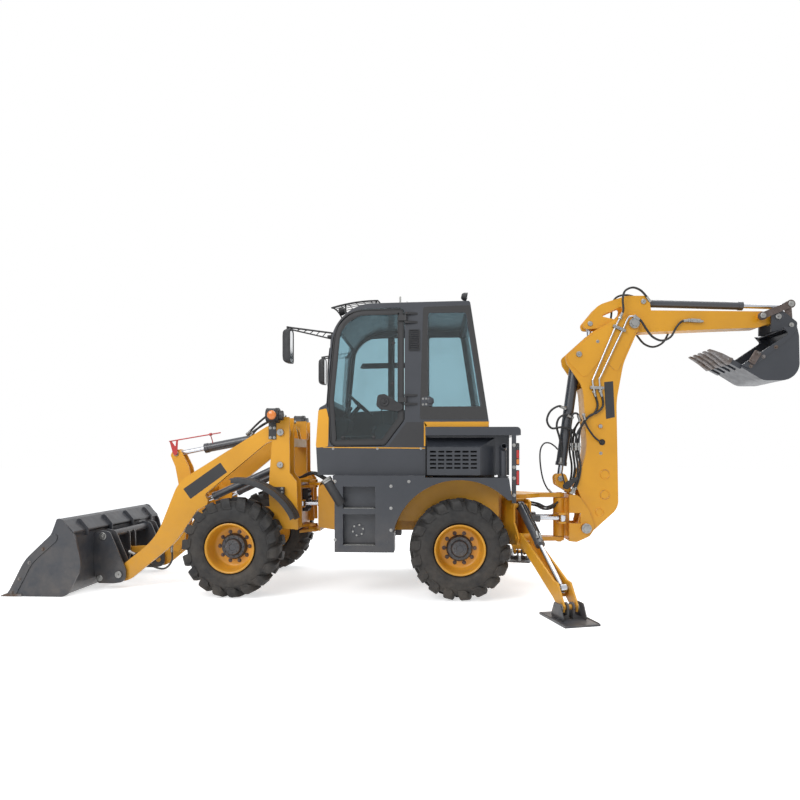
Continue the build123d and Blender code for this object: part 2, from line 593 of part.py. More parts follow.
FENDER_R = 735
LAMP_YZ, LAMP_R = (690, 1985), 82
with BuildPart() as front_fenders:
    for side in (-1, 1):
        with BuildSketch(Plane.XZ.offset(-side * 600)) as arch:
            with Locations((FRONT_X, WHEEL_R)):
                Circle(FENDER_R + 8)
                Circle(FENDER_R, mode=Mode.SUBTRACT)
            with BuildLine():
                Polyline((FRONT_X, WHEEL_R), (FRONT_X - 80, WHEEL_R + 1000), (FRONT_X + 1400, WHEEL_R + 1400),
                         (FRONT_X + 1400, WHEEL_R + 1400 * sin(radians(26))), close=True)
            make_face(mode=Mode.INTERSECT)
        extrude(arch.sketch, amount=-side * 250)
        block((-1560, -1400), sorted((side * (595 + SEAT), side * 640)), (1100, 1180))
        # lamp bracket and round lamp that looks forwards
        block((-1585, -1500), sorted((side * (595 + SEAT), side * 607)), (1720, 1960))
        bar((-1560, side * LAMP_YZ[0], LAMP_YZ[1]), (-1440, side * LAMP_YZ[0], LAMP_YZ[1]), LAMP_R)
        bar((-1445, side * LAMP_YZ[0], LAMP_YZ[1]), (-1400, side * LAMP_YZ[0], LAMP_YZ[1]), 55)
        block((-1540, -1500), sorted((side * (595 + SEAT), side * 625)), (1900, LAMP_YZ[1]))
save("front_fenders", front_fenders)

# ---------------------------------------------------------------- loader
ARM_OUTLINE = [(-1360, 1890, 80), (-1590, 1890, 250), (-2657, 1236, 400), (-2923, 577, 800),
               (-3437, 179, 50), (-3390, 80, 60), (-3254, 80, 300), (-2686, 540, 800), (-2440, 905, 100),
               (-2300, 980, 50), (-2345, 1090, 30), (-1605, 1700, 250), (-1360, 1720, 60)]
with BuildPart() as loader_boom:
    plates(ARM_OUTLINE, BOOM_INNER, BOOM_OUTER)
    bosses(BOOM_PIVOT, 70, 376, 569)
    bosses(BOOM_PIVOT, 32 + FIT, 370, 570, Mode.SUBTRACT)
    bosses(BOOM_TIP, 75, BOOM_INNER - 8, BOOM_OUTER)
    bosses(BOOM_TIP, 32, 430, 602)
    boss(CROSS_TUBE, 62, -BOOM_INNER, BOOM_INNER)
    plate([(CROSS_TUBE[0], 1175), (CROSS_TUBE[0], 1065), (-2750, 1050), (-2805, 1110), (-2750, 1170)], -44, 44)
    boss(ROCKER_PIVOT, 32, -90, 90)
    # inner ears of the lift rods
    plates([(-2560, 1100), (-2450, 940), (-2340, 960), (-2330, 1060), (-2500, 1180)], *LIFT_EAR)
save("loader_boom", loader_boom)

lift_rams = [side_ram(LIFT_BASE, LIFT_EYE, side * LIFT_Y, 42, 28, 60, BOOM_INNER - LIFT_EAR[1], 980)
             for side in (-1, 1)]
tilt_ram = side_ram(TILT_BASE, ROCKER_TOP, 0, 55, 30, 90, 2 * ROCKER_INNER, 1200)

with BuildPart() as lift_barrels:
    for ram in lift_rams:
        ram_barrel(ram)
save("lift_barrels", lift_barrels)

with BuildPart() as lift_rods:
    for ram in lift_rams:
        ram_rod(ram)
save("lift_rods", lift_rods)

with BuildPart() as tilt_barrel:
    ram_barrel(tilt_ram)
save("tilt_barrel", tilt_barrel)

with BuildPart() as tilt_rod:
    ram_rod(tilt_ram)
save("tilt_rod", tilt_rod)

with BuildPart() as rocker:
    plates([(-2955, 1540, 40), (-2915, 1620, 50), (-2830, 1605, 60), (-2725, 1400, 120), (-2665, 1110, 200),
            (-2800, 380, 60), (-2863, 330, 40), (-2930, 380, 60), (-2840, 1110, 300), (-2895, 1400, 0)],
           ROCKER_INNER, ROCKER_INNER + 22)
    bosses(ROCKER_PIVOT, 60, ROCKER_INNER - 2, ROCKER_INNER + 32)
    bosses(ROCKER_PIVOT, 32 + FIT, ROCKER_INNER - 5, 95, Mode.SUBTRACT)
    bosses(ROCKER_LOW, 42, ROCKER_INNER, ROCKER_INNER + 30)
    boss((-2792, 760), 30, -ROCKER_INNER - 1, ROCKER_INNER + 1)
save("rocker", rocker)

with BuildPart() as tilt_link:
    plate(link_outline(ROCKER_LOW, HITCH_LINK, 38), -35, 35)
    boss(ROCKER_LOW, 45, -45, 45)
    boss(HITCH_LINK, 50, -45, 45)
    boss(ROCKER_LOW, PIN_R, SEAT - ROCKER_INNER, ROCKER_INNER - SEAT)
    boss(HITCH_LINK, PIN_R + FIT, -50, 50, Mode.SUBTRACT)
save("tilt_link", tilt_link)

HITCH_OUTLINE = [(-3590, 60, 40), (HITCH_FRONT, 210, 60), (HITCH_FRONT, 620, 40), (-3560, 675, 50),
                 (-3450, 655, 60), (-3260, 220, 60), (-3262, 80, 80), (-3400, 60, 60)]
with BuildPart() as quick_hitch:
    for inner in (440, 572):
        plates(HITCH_OUTLINE, inner, inner + 20)
    boss((-3530, 605), 42, -592, 592)
    boss((-3565, 120), 36, -592, 592)
    bosses(BOOM_TIP, 32 + FIT, 425, 600, Mode.SUBTRACT)
    plates([(HITCH_FRONT, 590, 20), (-3540, 655, 40), (-3470, 590, 40), (-3462, 360, 60), (-3490, 110, 40),
            (HITCH_FRONT, 90, 40)], HITCH_EAR, HITCH_EAR + 25)
    boss(HITCH_LINK, PIN_R, -HITCH_EAR - 30, HITCH_EAR + 30)
save("quick_hitch", quick_hitch)

BUCKET_BODY = [(-4380, 0), (-4325, 80, 60), (-4160, 400, 500), (-3870, 670, 200), (-3800, 855, 25),
               (-3740, 830, 25), (-3610, 700, 40), (BUCKET_BACK_X, 670), (BUCKET_BACK_X, 0, 160)]
BUCKET_CAVITY = [(-4500, 25), (-3664, 25, 136), (-3664, 660, 30), (-3790, 810, 20), (-4500, 1200)]
SIDE_PLATE = [(-4380, 0), (-4325, 80, 60), (-4160, 400, 500), (-3870, 670, 200), (-3800, 855, 25),
              (-3740, 840, 40), (-3600, 660, 200), (-3525, 330, 250), (-3690, 0, 120)]
SIDE_BAND = [(-4380, 0), (-4325, 80, 60), (-4160, 400, 500), (-3870, 670, 60), (-3790, 690, 40),
             (-3800, 610, 40), (-4075, 370, 400), (-4240, 60, 60), (-4270, 0)]
GUARD_RIB = [(-3755, 800), (-3690, 835, 30), (-3590, 720, 20), (-3590, 640), (BUCKET_BACK_X - 5, 640),
             (BUCKET_BACK_X - 5, 680)]
with BuildPart() as loader_bucket:
    plate(BUCKET_BODY, 20 - BUCKET_HALF, BUCKET_HALF - 20)
    plate(BUCKET_CAVITY, 35 - BUCKET_HALF, BUCKET_HALF - 35, Mode.SUBTRACT)
    plates(SIDE_PLATE, BUCKET_HALF - 35, BUCKET_HALF - 10)
    plates(SIDE_BAND, BUCKET_HALF - 11, BUCKET_HALF)
    plate([(-4432, 0), (-4432, 6), (-4380, 28), (-4200, 28), (-4200, 0)], -BUCKET_HALF, BUCKET_HALF)
    for y in (-780, -260, 260, 780):
        plate(GUARD_RIB, y - 6, y + 6)
save("loader_bucket", loader_bucket)

# ---------------------------------------------------------------- steering rams
#              name, side
for name, side in (("left", -1), ("right", 1)):
    ram = Ram((STEER_BASE[0], side * STEER_BASE[1], STEER_Z), (STEER_EYE[0], side * STEER_EYE[1], STEER_Z),
              (0, 0, 1), 38, 20, 50, STEER_GAP, 470)
    with BuildPart() as steer_barrel:
        ram_barrel(ram)
    save(f"steer_barrel_{name}", steer_barrel)
    with BuildPart() as steer_rod:
        ram_rod(ram)
    save(f"steer_rod_{name}", steer_rod)

# ---------------------------------------------------------------- digging arm
CHEEK_OUTLINE = [(1875, 1078), (1985, 1070, 80), (2110, 890, 200), (2170, 680, 80), (2110, 590, 60),
                 (1963, 521, 40), (1875, 530)]
ARM_EAR_OUTLINE = [(1900, 1000), (1900, 1090, 30), (1735, 1190, 40), (1720, 1315, 50), (1850, 1325, 50),
                   (1935, 1080), (1935, 1000)]
SWING_EAR = 62
LEVER_GAP = 76
with BuildPart() as swing_post:
    post((KING_X, 0), 70, 576, 1034)
    block((KING_X + 50, 1890), (-60, 60), (580, 1030))
    block((1875, 1900), (-175, 175), (530, 1075))
    plates(CHEEK_OUTLINE, 150, 175)
    plates(ARM_EAR_OUTLINE, SWING_EAR, SWING_EAR + 25)
    for low in (SWING_Z - LEVER_GAP / 2 - 24, SWING_Z + LEVER_GAP / 2):
        slab([(KING_X - 40, -SWING_LEVER - 30), (KING_X + 40, -SWING_LEVER - 30), (KING_X + 70, 0),
              (KING_X + 40, SWING_LEVER + 30), (KING_X - 40, SWING_LEVER + 30), (KING_X - 60, 0)],
             low, low + 24)
    for side in (-1, 1):
        block((1860, 2005), sorted((side * 70, side * 176)), (740, 862), Mode.SUBTRACT)
    post((KING_X, 0), 32 + FIT, 500, 1100, Mode.SUBTRACT)
    bosses(BOOM_RAM_BASE, 40, SWING_EAR + 25, SWING_EAR + 35)
    bosses(BOOM_ROOT, 60, 150, 185)
    boss(BOOM_ROOT, 32, -190, 190)
save("swing_post", swing_post)

for name, side in (("left", -1), ("right", 1)):
    ram = Ram((SWING_BASE_X, side * SWING_LEVER, SWING_Z), (KING_X, side * SWING_LEVER, SWING_Z),
              (0, 0, 1), 40, 22, 60, LEVER_GAP, 515)
    with BuildPart() as swing_barrel:
        ram_barrel(ram)
    save(f"swing_barrel_{name}", swing_barrel)
    with BuildPart() as swing_rod:
        ram_rod(ram)
    save(f"swing_rod_{name}", swing_rod)

HORN_INNER = 48
DIG_BOOM_OUTLINE = [(1985, 600, 50), (2105, 600, 60), (2452, 919, 200), (2430, 2180, 900), (2510, 2620, 600),
                    (2715, 3095, 50), (2650, 3165, 50), (2455, 3160, 120), (2140, 2985, 200), (1835, 2710, 50),
                    (1850, 2625, 40), (2040, 2340, 400), (2090, 1600, 700), (1965, 1180, 50), (2040, 980, 80),
                    (1985, 760)]
BOOM_MOUTH = [(1700, 2400), (2180, 2300), (2500, 2700), (2800, 2780), (2800, 3300), (1700, 3300)]
BOOM_FOOT = [(1900, 1140), (2200, 1140), (2330, 900), (2330, 500), (1900, 500)]
KNEE_DOUBLER = [(1870, 2640, 40), (2065, 2440, 60), (2262, 2690, 60), (2440, 2505, 40), (2500, 2660, 500),
                (2690, 3090, 40), (2640, 3145, 40), (2465, 3140, 100), (2150, 2965, 200), (1855, 2705, 30)]
with BuildPart() as backhoe_boom:
    plate(DIG_BOOM_OUTLINE, -138, 138)
    plate(DIG_BOOM_OUTLINE, -118, 118, Mode.SUBTRACT, grow=-22)
    plate(BOOM_MOUTH, -118, 118, Mode.SUBTRACT)
    plate(BOOM_FOOT, -118, 118, Mode.SUBTRACT)
    plates(KNEE_DOUBLER, 137, 144)
    boss(BOOM_ROOT, 75, -143, 143)
    boss(BOOM_ROOT, 32 + FIT, -150, 150, Mode.SUBTRACT)
    bosses(DIPPER_PIVOT, 70, 118, 150)
    boss(DIPPER_PIVOT, 35, -150, 150)
    boss(DIPPER_RAM_BASE, PIN_R, -150, 150)
    bosses(BOOM_RAM_EYE, 60, 74, 138)
    boss(BOOM_RAM_EYE, PIN_R, -150, 150)
save("backhoe_boom", backhoe_boom)

boom_ram = side_ram(BOOM_RAM_EYE, BOOM_RAM_BASE, 0, 62, 32, 90, 2 * SWING_EAR, 1400)
dipper_ram = side_ram(DIPPER_RAM_BASE, DIPPER_HORN, 0, 50, 28, 80, 2 * HORN_INNER, 880)
bucket_ram = side_ram(BUCKET_RAM_BASE, GUIDE_END, 0, 45, 25, 70, 2 * 42, 1250)
for name, ram in (("boom", boom_ram), ("dipper", dipper_ram), ("bucket", bucket_ram)):
    with BuildPart() as barrel:
        ram_barrel(ram)
    save(f"{name}_barrel", barrel)
    with BuildPart() as rod:
        ram_rod(ram)
    save(f"{name}_rod", rod)

with BuildPart() as dipper:
    plate([(2717, 2990), (2839, 3248), (4104, 3220), (4212, 3205), (4320, 3170), (4320, 3110), (4212, 3080),
           (4060, 3029), (3627, 3018)], -88, 88)
    plates([(2055, 3105, 40), (2230, 3320, 250), (2560, 3425, 200), (2820, 3420, 60), (2845, 3240), (2900, 3000),
            (2640, 2990), (2420, 3050, 200), (2136, 3036, 100), (2070, 3040, 40)], 62, 88)
    plates([(2250, 3190, 15), (2515, 3305, 20), (2500, 3225, 20), (2425, 3145, 20)], 60, 90, Mode.SUBTRACT)
    boss(DIPPER_PIVOT, 75, -110, 110)
    boss(DIPPER_PIVOT, 35 + FIT, -120, 120, Mode.SUBTRACT)
    bosses(DIPPER_HORN, 60, HORN_INNER, 88)
    boss(BUCKET_RAM_BASE, PIN_R, -95, 95)
    boss(BUCKET_PIVOT, 60, -88, 88)
    boss(BUCKET_PIVOT, 30 + FIT, -95, 95, Mode.SUBTRACT)
    boss(GUIDE_PIVOT, 28, -180, 180)
save("dipper", dipper)


with BuildPart() as guide_link:
    plates(link_outline(GUIDE_PIVOT, GUIDE_END, 38), 155, 175)
    bosses(GUIDE_PIVOT, 48, 152, 175)
    bosses(GUIDE_END, 48, 155, 175)
    boss(GUIDE_END, 26, -175, 175)
    bosses(GUIDE_PIVOT, 28 + FIT, 150, 190, Mode.SUBTRACT)
    boss(GUIDE_END, 60, -42, 42, Mode.SUBTRACT)
save("guide_link", guide_link)

with BuildPart() as bucket_link:
    plates(link_outline(GUIDE_END, BUCKET_EAR, 36), 94, 116)
    bosses(GUIDE_END, 46, 94, 116)
    bosses(BUCKET_EAR, 42, 94, 116)
    bosses(GUIDE_END, 26 + FIT, 90, 120, Mode.SUBTRACT)
save("bucket_link", bucket_link)

DIG_SIDE = [(3764, 2545), (4010, 2387, 180), (4416, 2387, 320), (4406, 2890, 60), (4385, 2990, 30),
            (4225, 2990, 20), (4300, 2915, 20)]
DIG_CAVITY = [(3700, 2556), (3778, 2560), (4015, 2407, 165), (4396, 2407, 300), (4386, 2890, 40), (4366, 2966, 20),
              (4200, 2966), (4000, 3300), (3600, 2900)]
SIDE_CUTTER = [(3770, 2560), (3860, 2520, 20), (4310, 2870, 30), (4385, 2990), (4225, 2990), (4290, 2915, 20)]
TEETH = 5
with BuildPart() as digging_bucket:
    plate(DIG_SIDE, -DIG_HALF, DIG_HALF)
    plate(DIG_CAVITY, 18 - DIG_HALF, DIG_HALF - 18, Mode.SUBTRACT)
    plates(SIDE_CUTTER, DIG_HALF - 1, DIG_HALF + 10)
    plates([(4185, 2970), (4190, 3200, 60), (4310, 3215, 60), (4480, 3075, 40), (4465, 2975, 40)], 124, 148)
    boss(BUCKET_PIVOT, 30, -155, 155)
    boss(BUCKET_PIVOT, 55, -150, -124)
    boss(BUCKET_PIVOT, 55, 124, 150)
    for turn in range(TEETH):
        y = (turn / (TEETH - 1) - 0.5) * (2 * DIG_HALF - 90)
        plate([(3800, 2560), (3770, 2520), (3610, 2610), (3430, 2738), (3434, 2746), (3630, 2670)],
              y - 28, y + 28)
save("digging_bucket", digging_bucket)

# ---------------------------------------------------------------- stabilizers
PAD_EAR = (20, 40)              # pad's ears from the leg's middle
for name, side in LEGS:
    place = leg_place(side)
    hinge, out, turn, foot = place.hinge, place.out, place.turn, place.foot
    with BuildPart() as leg:
        leg_plates(place, [(-45, -30), (-30, 45), (60, 60), (LEG_REACH - 170, 220 - LEG_DROP),
                           (LEG_REACH - 90, 210 - LEG_DROP), (LEG_REACH + 45, 20 - LEG_DROP),
                           (LEG_REACH + 30, -40 - LEG_DROP), (LEG_REACH - 30, -40 - LEG_DROP),
                           (LEG_REACH - 170, 60 - LEG_DROP), (60, -60)], LEG_INNER, LEG_OUTER)
        leg_plates(place, [(80, -50), (80, -70), (LEG_REACH - 170, 60 - LEG_DROP),
                           (LEG_REACH - 175, 85 - LEG_DROP)], 0, LEG_INNER + 1)
        bar(hinge - turn * LEG_OUTER, hinge + turn * LEG_OUTER, 48)
        bar(hinge - turn * BRACKET_INNER, hinge + turn * BRACKET_INNER, 30 + FIT, Mode.SUBTRACT)
        bar(foot - turn * LEG_OUTER, foot + turn * LEG_OUTER, 26)
    save(f"stabilizer_leg_{name}", leg)
    with BuildPart() as pad:
        with BuildSketch(Plane(origin=(foot.X, foot.Y, 0), x_dir=turn, z_dir=(0, 0, 1))) as sole:
            Rectangle(PAD_SIZE[0], PAD_SIZE[1])
        extrude(sole.sketch, amount=PAD_SIZE[2])
        for low in (-PAD_EAR[1], PAD_EAR[0]):
            with BuildSketch(Plane(origin=foot + turn * low, x_dir=out, z_dir=turn)) as ear:
                Circle(48)
            extrude(ear.sketch, amount=PAD_EAR[1] - PAD_EAR[0])
            middle = Vector(foot.X, foot.Y, PAD_SIZE[2] - 1) + turn * (low + (PAD_EAR[1] - PAD_EAR[0]) / 2)
            with BuildSketch(Plane(origin=middle, x_dir=turn, z_dir=(0, 0, 1))) as web:
                Rectangle(PAD_EAR[1] - PAD_EAR[0], 90)
            extrude(web.sketch, amount=foot.Z - PAD_SIZE[2])
        bar(foot - turn * 44, foot + turn * 44, 26 + FIT, Mode.SUBTRACT)
    save(f"stabilizer_pad_{name}", pad)
    with BuildPart() as stabilizer_barrel:
        ram_barrel(place.ram)
    save(f"stabilizer_barrel_{name}", stabilizer_barrel)
    with BuildPart() as stabilizer_rod:
        ram_rod(place.ram)
    save(f"stabilizer_rod_{name}", stabilizer_rod)
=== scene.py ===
# %% [markdown]
# A backhoe loader is a small factory on wheels: pressed and welded plates, chromed rods, black rubber and a
# glazed cab.  The construction comes from the imported model as a fixed frame in metres, and every cell below
# adds a finish or a piece to it.  First the frame is loaded.

# %% Load the frame
from math import radians

import bmesh
import bpy
import numpy as np
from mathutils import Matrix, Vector


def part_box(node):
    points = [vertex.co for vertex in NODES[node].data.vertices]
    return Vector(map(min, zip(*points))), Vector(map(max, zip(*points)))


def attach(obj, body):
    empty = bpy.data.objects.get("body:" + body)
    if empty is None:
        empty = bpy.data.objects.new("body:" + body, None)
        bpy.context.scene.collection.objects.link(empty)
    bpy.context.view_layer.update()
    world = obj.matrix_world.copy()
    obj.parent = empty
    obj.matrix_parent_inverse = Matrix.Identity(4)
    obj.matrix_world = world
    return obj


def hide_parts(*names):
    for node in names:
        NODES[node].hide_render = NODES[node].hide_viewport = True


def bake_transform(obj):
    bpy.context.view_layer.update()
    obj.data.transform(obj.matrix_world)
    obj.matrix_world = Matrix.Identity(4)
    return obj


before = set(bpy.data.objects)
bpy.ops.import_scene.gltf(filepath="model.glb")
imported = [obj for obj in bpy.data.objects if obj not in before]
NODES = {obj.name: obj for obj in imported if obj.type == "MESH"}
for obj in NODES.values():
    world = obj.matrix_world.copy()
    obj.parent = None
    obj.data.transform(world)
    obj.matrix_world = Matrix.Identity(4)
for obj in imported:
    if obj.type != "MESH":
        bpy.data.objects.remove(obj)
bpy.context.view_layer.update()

# %% [markdown]
# The camera stands at eye height beside the machine.  A level camera with a little upward shift keeps the
# cab's posts upright, as an architect's camera does, where tilting it would make them lean.

# %% Camera
camera_data = bpy.data.cameras.new("side_camera")
camera_data.sensor_width = 36.0
camera_data.lens = 28.0
camera_data.shift_y = 0.069
camera_data.clip_end = 200.0
camera = bpy.data.objects.new("side_camera", camera_data)
camera.location = (0.3015, -7.577, 1.54)
camera.rotation_euler = (radians(90), 0, radians(3.22))
bpy.context.scene.collection.objects.link(camera)
bpy.context.scene.camera = camera
bpy.context.scene.view_settings.view_transform = "Standard"

# %% [markdown]
# Dark paint and glass only look right when they have something bright and soft to mirror.  Three large
# lamps act as softboxes, and the surroundings are white for the camera, for reflections and through
# glass, but dimmer for the light that falls on the machine, so that colours keep their written value.

# %% Lamps, surroundings and floor
def softbox(name, place, aim, size, watts):
    """Square lamp at a place, turned so that its -Z axis looks at the point it aims at."""
    data = bpy.data.lights.new(name, "AREA")
    data.size, data.energy = size, watts
    lamp = bpy.data.objects.new(name, data)
    lamp.location = place
    direction = np.array(aim, float) - np.array(place, float)
    lamp.rotation_euler = Vector(direction.tolist()).to_track_quat("-Z", "Y").to_euler()
    bpy.context.scene.collection.objects.link(lamp)
    return lamp


softbox("key_lamp", (-5.5, -8.5, 8.0), (0, 0, 1.0), 6.0, 620)
softbox("top_lamp", (1.5, 1.0, 9.5), (0.5, 0, 1.0), 7.0, 420)
softbox("rim_lamp", (7.5, 7.0, 6.0), (0, 0, 1.0), 5.0, 260)


def seen_directly(tree):
    """1 for camera, mirror and glass rays and 0 for the rest: the largest of three Light Path outputs."""
    path = tree.nodes.new("ShaderNodeLightPath")
    first = tree.nodes.new("ShaderNodeMath")
    first.operation = "MAXIMUM"
    second = tree.nodes.new("ShaderNodeMath")
    second.operation = "MAXIMUM"
    tree.links.new(path.outputs["Is Camera Ray"], first.inputs[0])
    tree.links.new(path.outputs["Is Glossy Ray"], first.inputs[1])
    tree.links.new(first.outputs[0], second.inputs[0])
    tree.links.new(path.outputs["Is Transmission Ray"], second.inputs[1])
    return second.outputs[0]


world = bpy.data.worlds.new("white_studio")
bpy.context.scene.world = world
world.use_nodes = True
tree = world.node_tree
tree.nodes.clear()
lit, seen = tree.nodes.new("ShaderNodeBackground"), tree.nodes.new("ShaderNodeBackground")
lit.inputs["Color"].default_value, lit.inputs["Strength"].default_value = (0.93, 0.96, 1.0, 1), 0.55
seen.inputs["Color"].default_value, seen.inputs["Strength"].default_value = (1, 1, 1, 1), 1.0
mix, out = tree.nodes.new("ShaderNodeMixShader"), tree.nodes.new("ShaderNodeOutputWorld")
tree.links.new(seen_directly(tree), mix.inputs[0])
tree.links.new(lit.outputs[0], mix.inputs[1])
tree.links.new(seen.outputs[0], mix.inputs[2])
tree.links.new(mix.outputs[0], out.inputs[0])

FLOOR_HALF = 60.0
floor_mesh = bpy.data.meshes.new("floor")
floor_mesh.from_pydata([(-FLOOR_HALF, -FLOOR_HALF, 0), (FLOOR_HALF, -FLOOR_HALF, 0),
                        (FLOOR_HALF, FLOOR_HALF, 0), (-FLOOR_HALF, FLOOR_HALF, 0)], [], [(0, 1, 2, 3)])
floor = bpy.data.objects.new("floor", floor_mesh)
bpy.context.scene.collection.objects.link(floor)
floor_finish = bpy.data.materials.new("pale_floor")
floor_finish.use_nodes = True
tree = floor_finish.node_tree
tree.nodes.clear()
matt, glow = tree.nodes.new("ShaderNodeBsdfDiffuse"), tree.nodes.new("ShaderNodeEmission")
matt.inputs["Color"].default_value = (0.80, 0.80, 0.80, 1)
strength = tree.nodes.new("ShaderNodeMath")
strength.operation = "MULTIPLY"
strength.inputs[1].default_value = 0.60
tree.links.new(seen_directly(tree), strength.inputs[0])
tree.links.new(strength.outputs[0], glow.inputs["Strength"])
both, out = tree.nodes.new("ShaderNodeAddShader"), tree.nodes.new("ShaderNodeOutputMaterial")
tree.links.new(matt.outputs[0], both.inputs[0])
tree.links.new(glow.outputs[0], both.inputs[1])
tree.links.new(both.outputs[0], out.inputs[0])
floor_mesh.materials.append(floor_finish)

# %% [markdown]
# A machine's finish is never one colour.  Paint fades and gathers dust near the ground, plate edges lose
# their paint first, and spray leaves a faint ripple.  One helper lays these over each other: cloudy noise
# for fading, a bevelled normal against the true one to find edges, and height above the floor for dust.

# %% Node helpers
def noise(tree, scale, detail=4.0, rough=0.55):
    """Noise on the piece's own coordinates, as a grey value from 0 to 1."""
    place = tree.nodes.new("ShaderNodeTexCoord")
    cloud = tree.nodes.new("ShaderNodeTexNoise")
    cloud.inputs["Scale"].default_value = scale
    cloud.inputs["Detail"].default_value = detail
    cloud.inputs["Roughness"].default_value = rough
    tree.links.new(place.outputs["Object"], cloud.inputs["Vector"])
    return cloud.outputs["Fac"]


def ranged(tree, value, low, high, to_low=0.0, to_high=1.0):
    """Stretches a value from one range to another, and holds it at the ends."""
    node = tree.nodes.new("ShaderNodeMapRange")
    tree.links.new(value, node.inputs["Value"])
    for name, number in (("From Min", low), ("From Max", high), ("To Min", to_low), ("To Max", to_high)):
        node.inputs[name].default_value = number
    return node.outputs["Result"]


def times(tree, first, second):
    """Product of two values, each a socket or a number."""
    node = tree.nodes.new("ShaderNodeMath")
    node.operation = "MULTIPLY"
    for slot, value in enumerate((first, second)):
        if isinstance(value, (int, float)):
            node.inputs[slot].default_value = value
        else:
            tree.links.new(value, node.inputs[slot])
    return node.outputs[0]


def mixed(tree, factor, first, second):
    """Colour between two others, each a socket or three numbers."""
    node = tree.nodes.new("ShaderNodeMix")
    node.data_type = "RGBA"
    tree.links.new(factor, node.inputs["Factor"])
    for socket, value in ((node.inputs[6], first), (node.inputs[7], second)):
        if isinstance(value, tuple):
            socket.default_value = (*value, 1.0)
        else:
            tree.links.new(value, socket)
    return node.outputs[2]


def bumped(tree, shader, height, strength, distance):
    """Gives a shader small relief from a grey value."""
    node = tree.nodes.new("ShaderNodeBump")
    node.inputs["Strength"].default_value = strength
    node.inputs["Distance"].default_value = distance
    tree.links.new(height, node.inputs["Height"])
    tree.links.new(node.outputs["Normal"], shader.inputs["Normal"])
    return node


def edge_wear(tree, radius=0.006):
    """Up to 1 on plate edges and 0 on flats, from how far the rounded and the true normal differ."""
    rounded, true = tree.nodes.new("ShaderNodeBevel"), tree.nodes.new("ShaderNodeNewGeometry")
    rounded.samples = 4
    rounded.inputs["Radius"].default_value = radius
    dot = tree.nodes.new("ShaderNodeVectorMath")
    dot.operation = "DOT_PRODUCT"
    tree.links.new(rounded.outputs[0], dot.inputs[0])
    tree.links.new(true.outputs["True Normal"], dot.inputs[1])
    edge = ranged(tree, dot.outputs["Value"], 0.985, 0.90)
    return times(tree, edge, ranged(tree, noise(tree, 9.0, 6.0), 0.50, 0.64))


def dust(tree, top, amount):
    """Dust that thins out upwards from the floor, broken up by noise."""
    place, parts = tree.nodes.new("ShaderNodeTexCoord"), tree.nodes.new("ShaderNodeSeparateXYZ")
    tree.links.new(place.outputs["Object"], parts.inputs[0])
    low = ranged(tree, parts.outputs["Z"], top, 0.0)
    return times(tree, low, ranged(tree, noise(tree, 5.0, 8.0, 0.65), 0.35, 0.75, 0.0, amount))


def finish(name, metallic=0.0, coat=0.0, sheen=0.0):
    """Empty material with its main shader, on which the cells below build."""
    material = bpy.data.materials.new(name)
    material.use_nodes = True
    shader = material.node_tree.nodes["Principled BSDF"]
    shader.inputs["Metallic"].default_value = metallic
    shader.inputs["Coat Weight"].default_value = coat
    shader.inputs["Coat Roughness"].default_value = 0.12
    shader.inputs["Sheen Weight"].default_value = sheen
    return material, material.node_tree, shader


DUST_COLOUR = (0.27, 0.22, 0.17)


def painted(name, colour, faded, worn, rough, coat, dust_top=1.1, dust_amount=0.35):
    """Sprayed machine paint: cloudy fading, orange-peel ripple, worn edges and dust low down."""
    material, tree, shader = finish(name, coat=coat)
    body = mixed(tree, ranged(tree, noise(tree, 2.2, 5.0), 0.35, 0.70), colour, faded)
    with_edges = mixed(tree, edge_wear(tree), body, worn)
    dusty = dust(tree, dust_top, dust_amount)
    tree.links.new(mixed(tree, dusty, with_edges, DUST_COLOUR), shader.inputs["Base Color"])
    tree.links.new(ranged(tree, noise(tree, 14.0, 6.0), 0.3, 0.75, rough, rough + 0.22),
                   shader.inputs["Roughness"])
    bumped(tree, shader, noise(tree, 160.0, 2.0), 0.10, 0.0006)
    return material


yellow = painted("yellow_paint", (0.82, 0.385, 0.016), (0.73, 0.335, 0.016), (0.22, 0.14, 0.08), 0.36, 0.18)
charcoal = painted("charcoal_paint", (0.030, 0.034, 0.043), (0.038, 0.042, 0.052), (0.20, 0.20, 0.21), 0.34,
                   0.25)
black = painted("black_paint", (0.018, 0.018, 0.020), (0.026, 0.026, 0.028), (0.10, 0.10, 0.10), 0.38, 0.15)
ram_paint = painted("ram_paint", (0.042, 0.046, 0.056), (0.052, 0.056, 0.066), (0.22, 0.22, 0.23), 0.26,
                    0.40)

# %% [markdown]
# Bare metal is either polished or scoured.  The rods mirror everything and their gloss varies a little,
# while the cutting edges are ground bright in patches with dark rust between them.

# %% Metals
def polished(name, colour, rough, streak):
    """Metal whose roughness varies with noise, squeezed along each axis by the streak's three numbers."""
    material, tree, shader = finish(name, metallic=1.0)
    place, squeeze = tree.nodes.new("ShaderNodeTexCoord"), tree.nodes.new("ShaderNodeMapping")
    squeeze.inputs["Scale"].default_value = streak
    grain = tree.nodes.new("ShaderNodeTexNoise")
    grain.inputs["Scale"].default_value = 6.0
    grain.inputs["Detail"].default_value = 6.0
    tree.links.new(place.outputs["Object"], squeeze.inputs["Vector"])
    tree.links.new(squeeze.outputs[0], grain.inputs["Vector"])
    tree.links.new(ranged(tree, grain.outputs["Fac"], 0.3, 0.7, rough, rough + 0.18),
                   shader.inputs["Roughness"])
    darker = tuple(0.72 * c for c in colour)
    tree.links.new(mixed(tree, ranged(tree, noise(tree, 3.0), 0.4, 0.8), colour, darker),
                   shader.inputs["Base Color"])
    return material


chrome = polished("rod_chrome", (0.56, 0.58, 0.62), 0.08, (1, 1, 1))
zinc = polished("zinc_plate", (0.36, 0.36, 0.35), 0.28, (4, 4, 4))


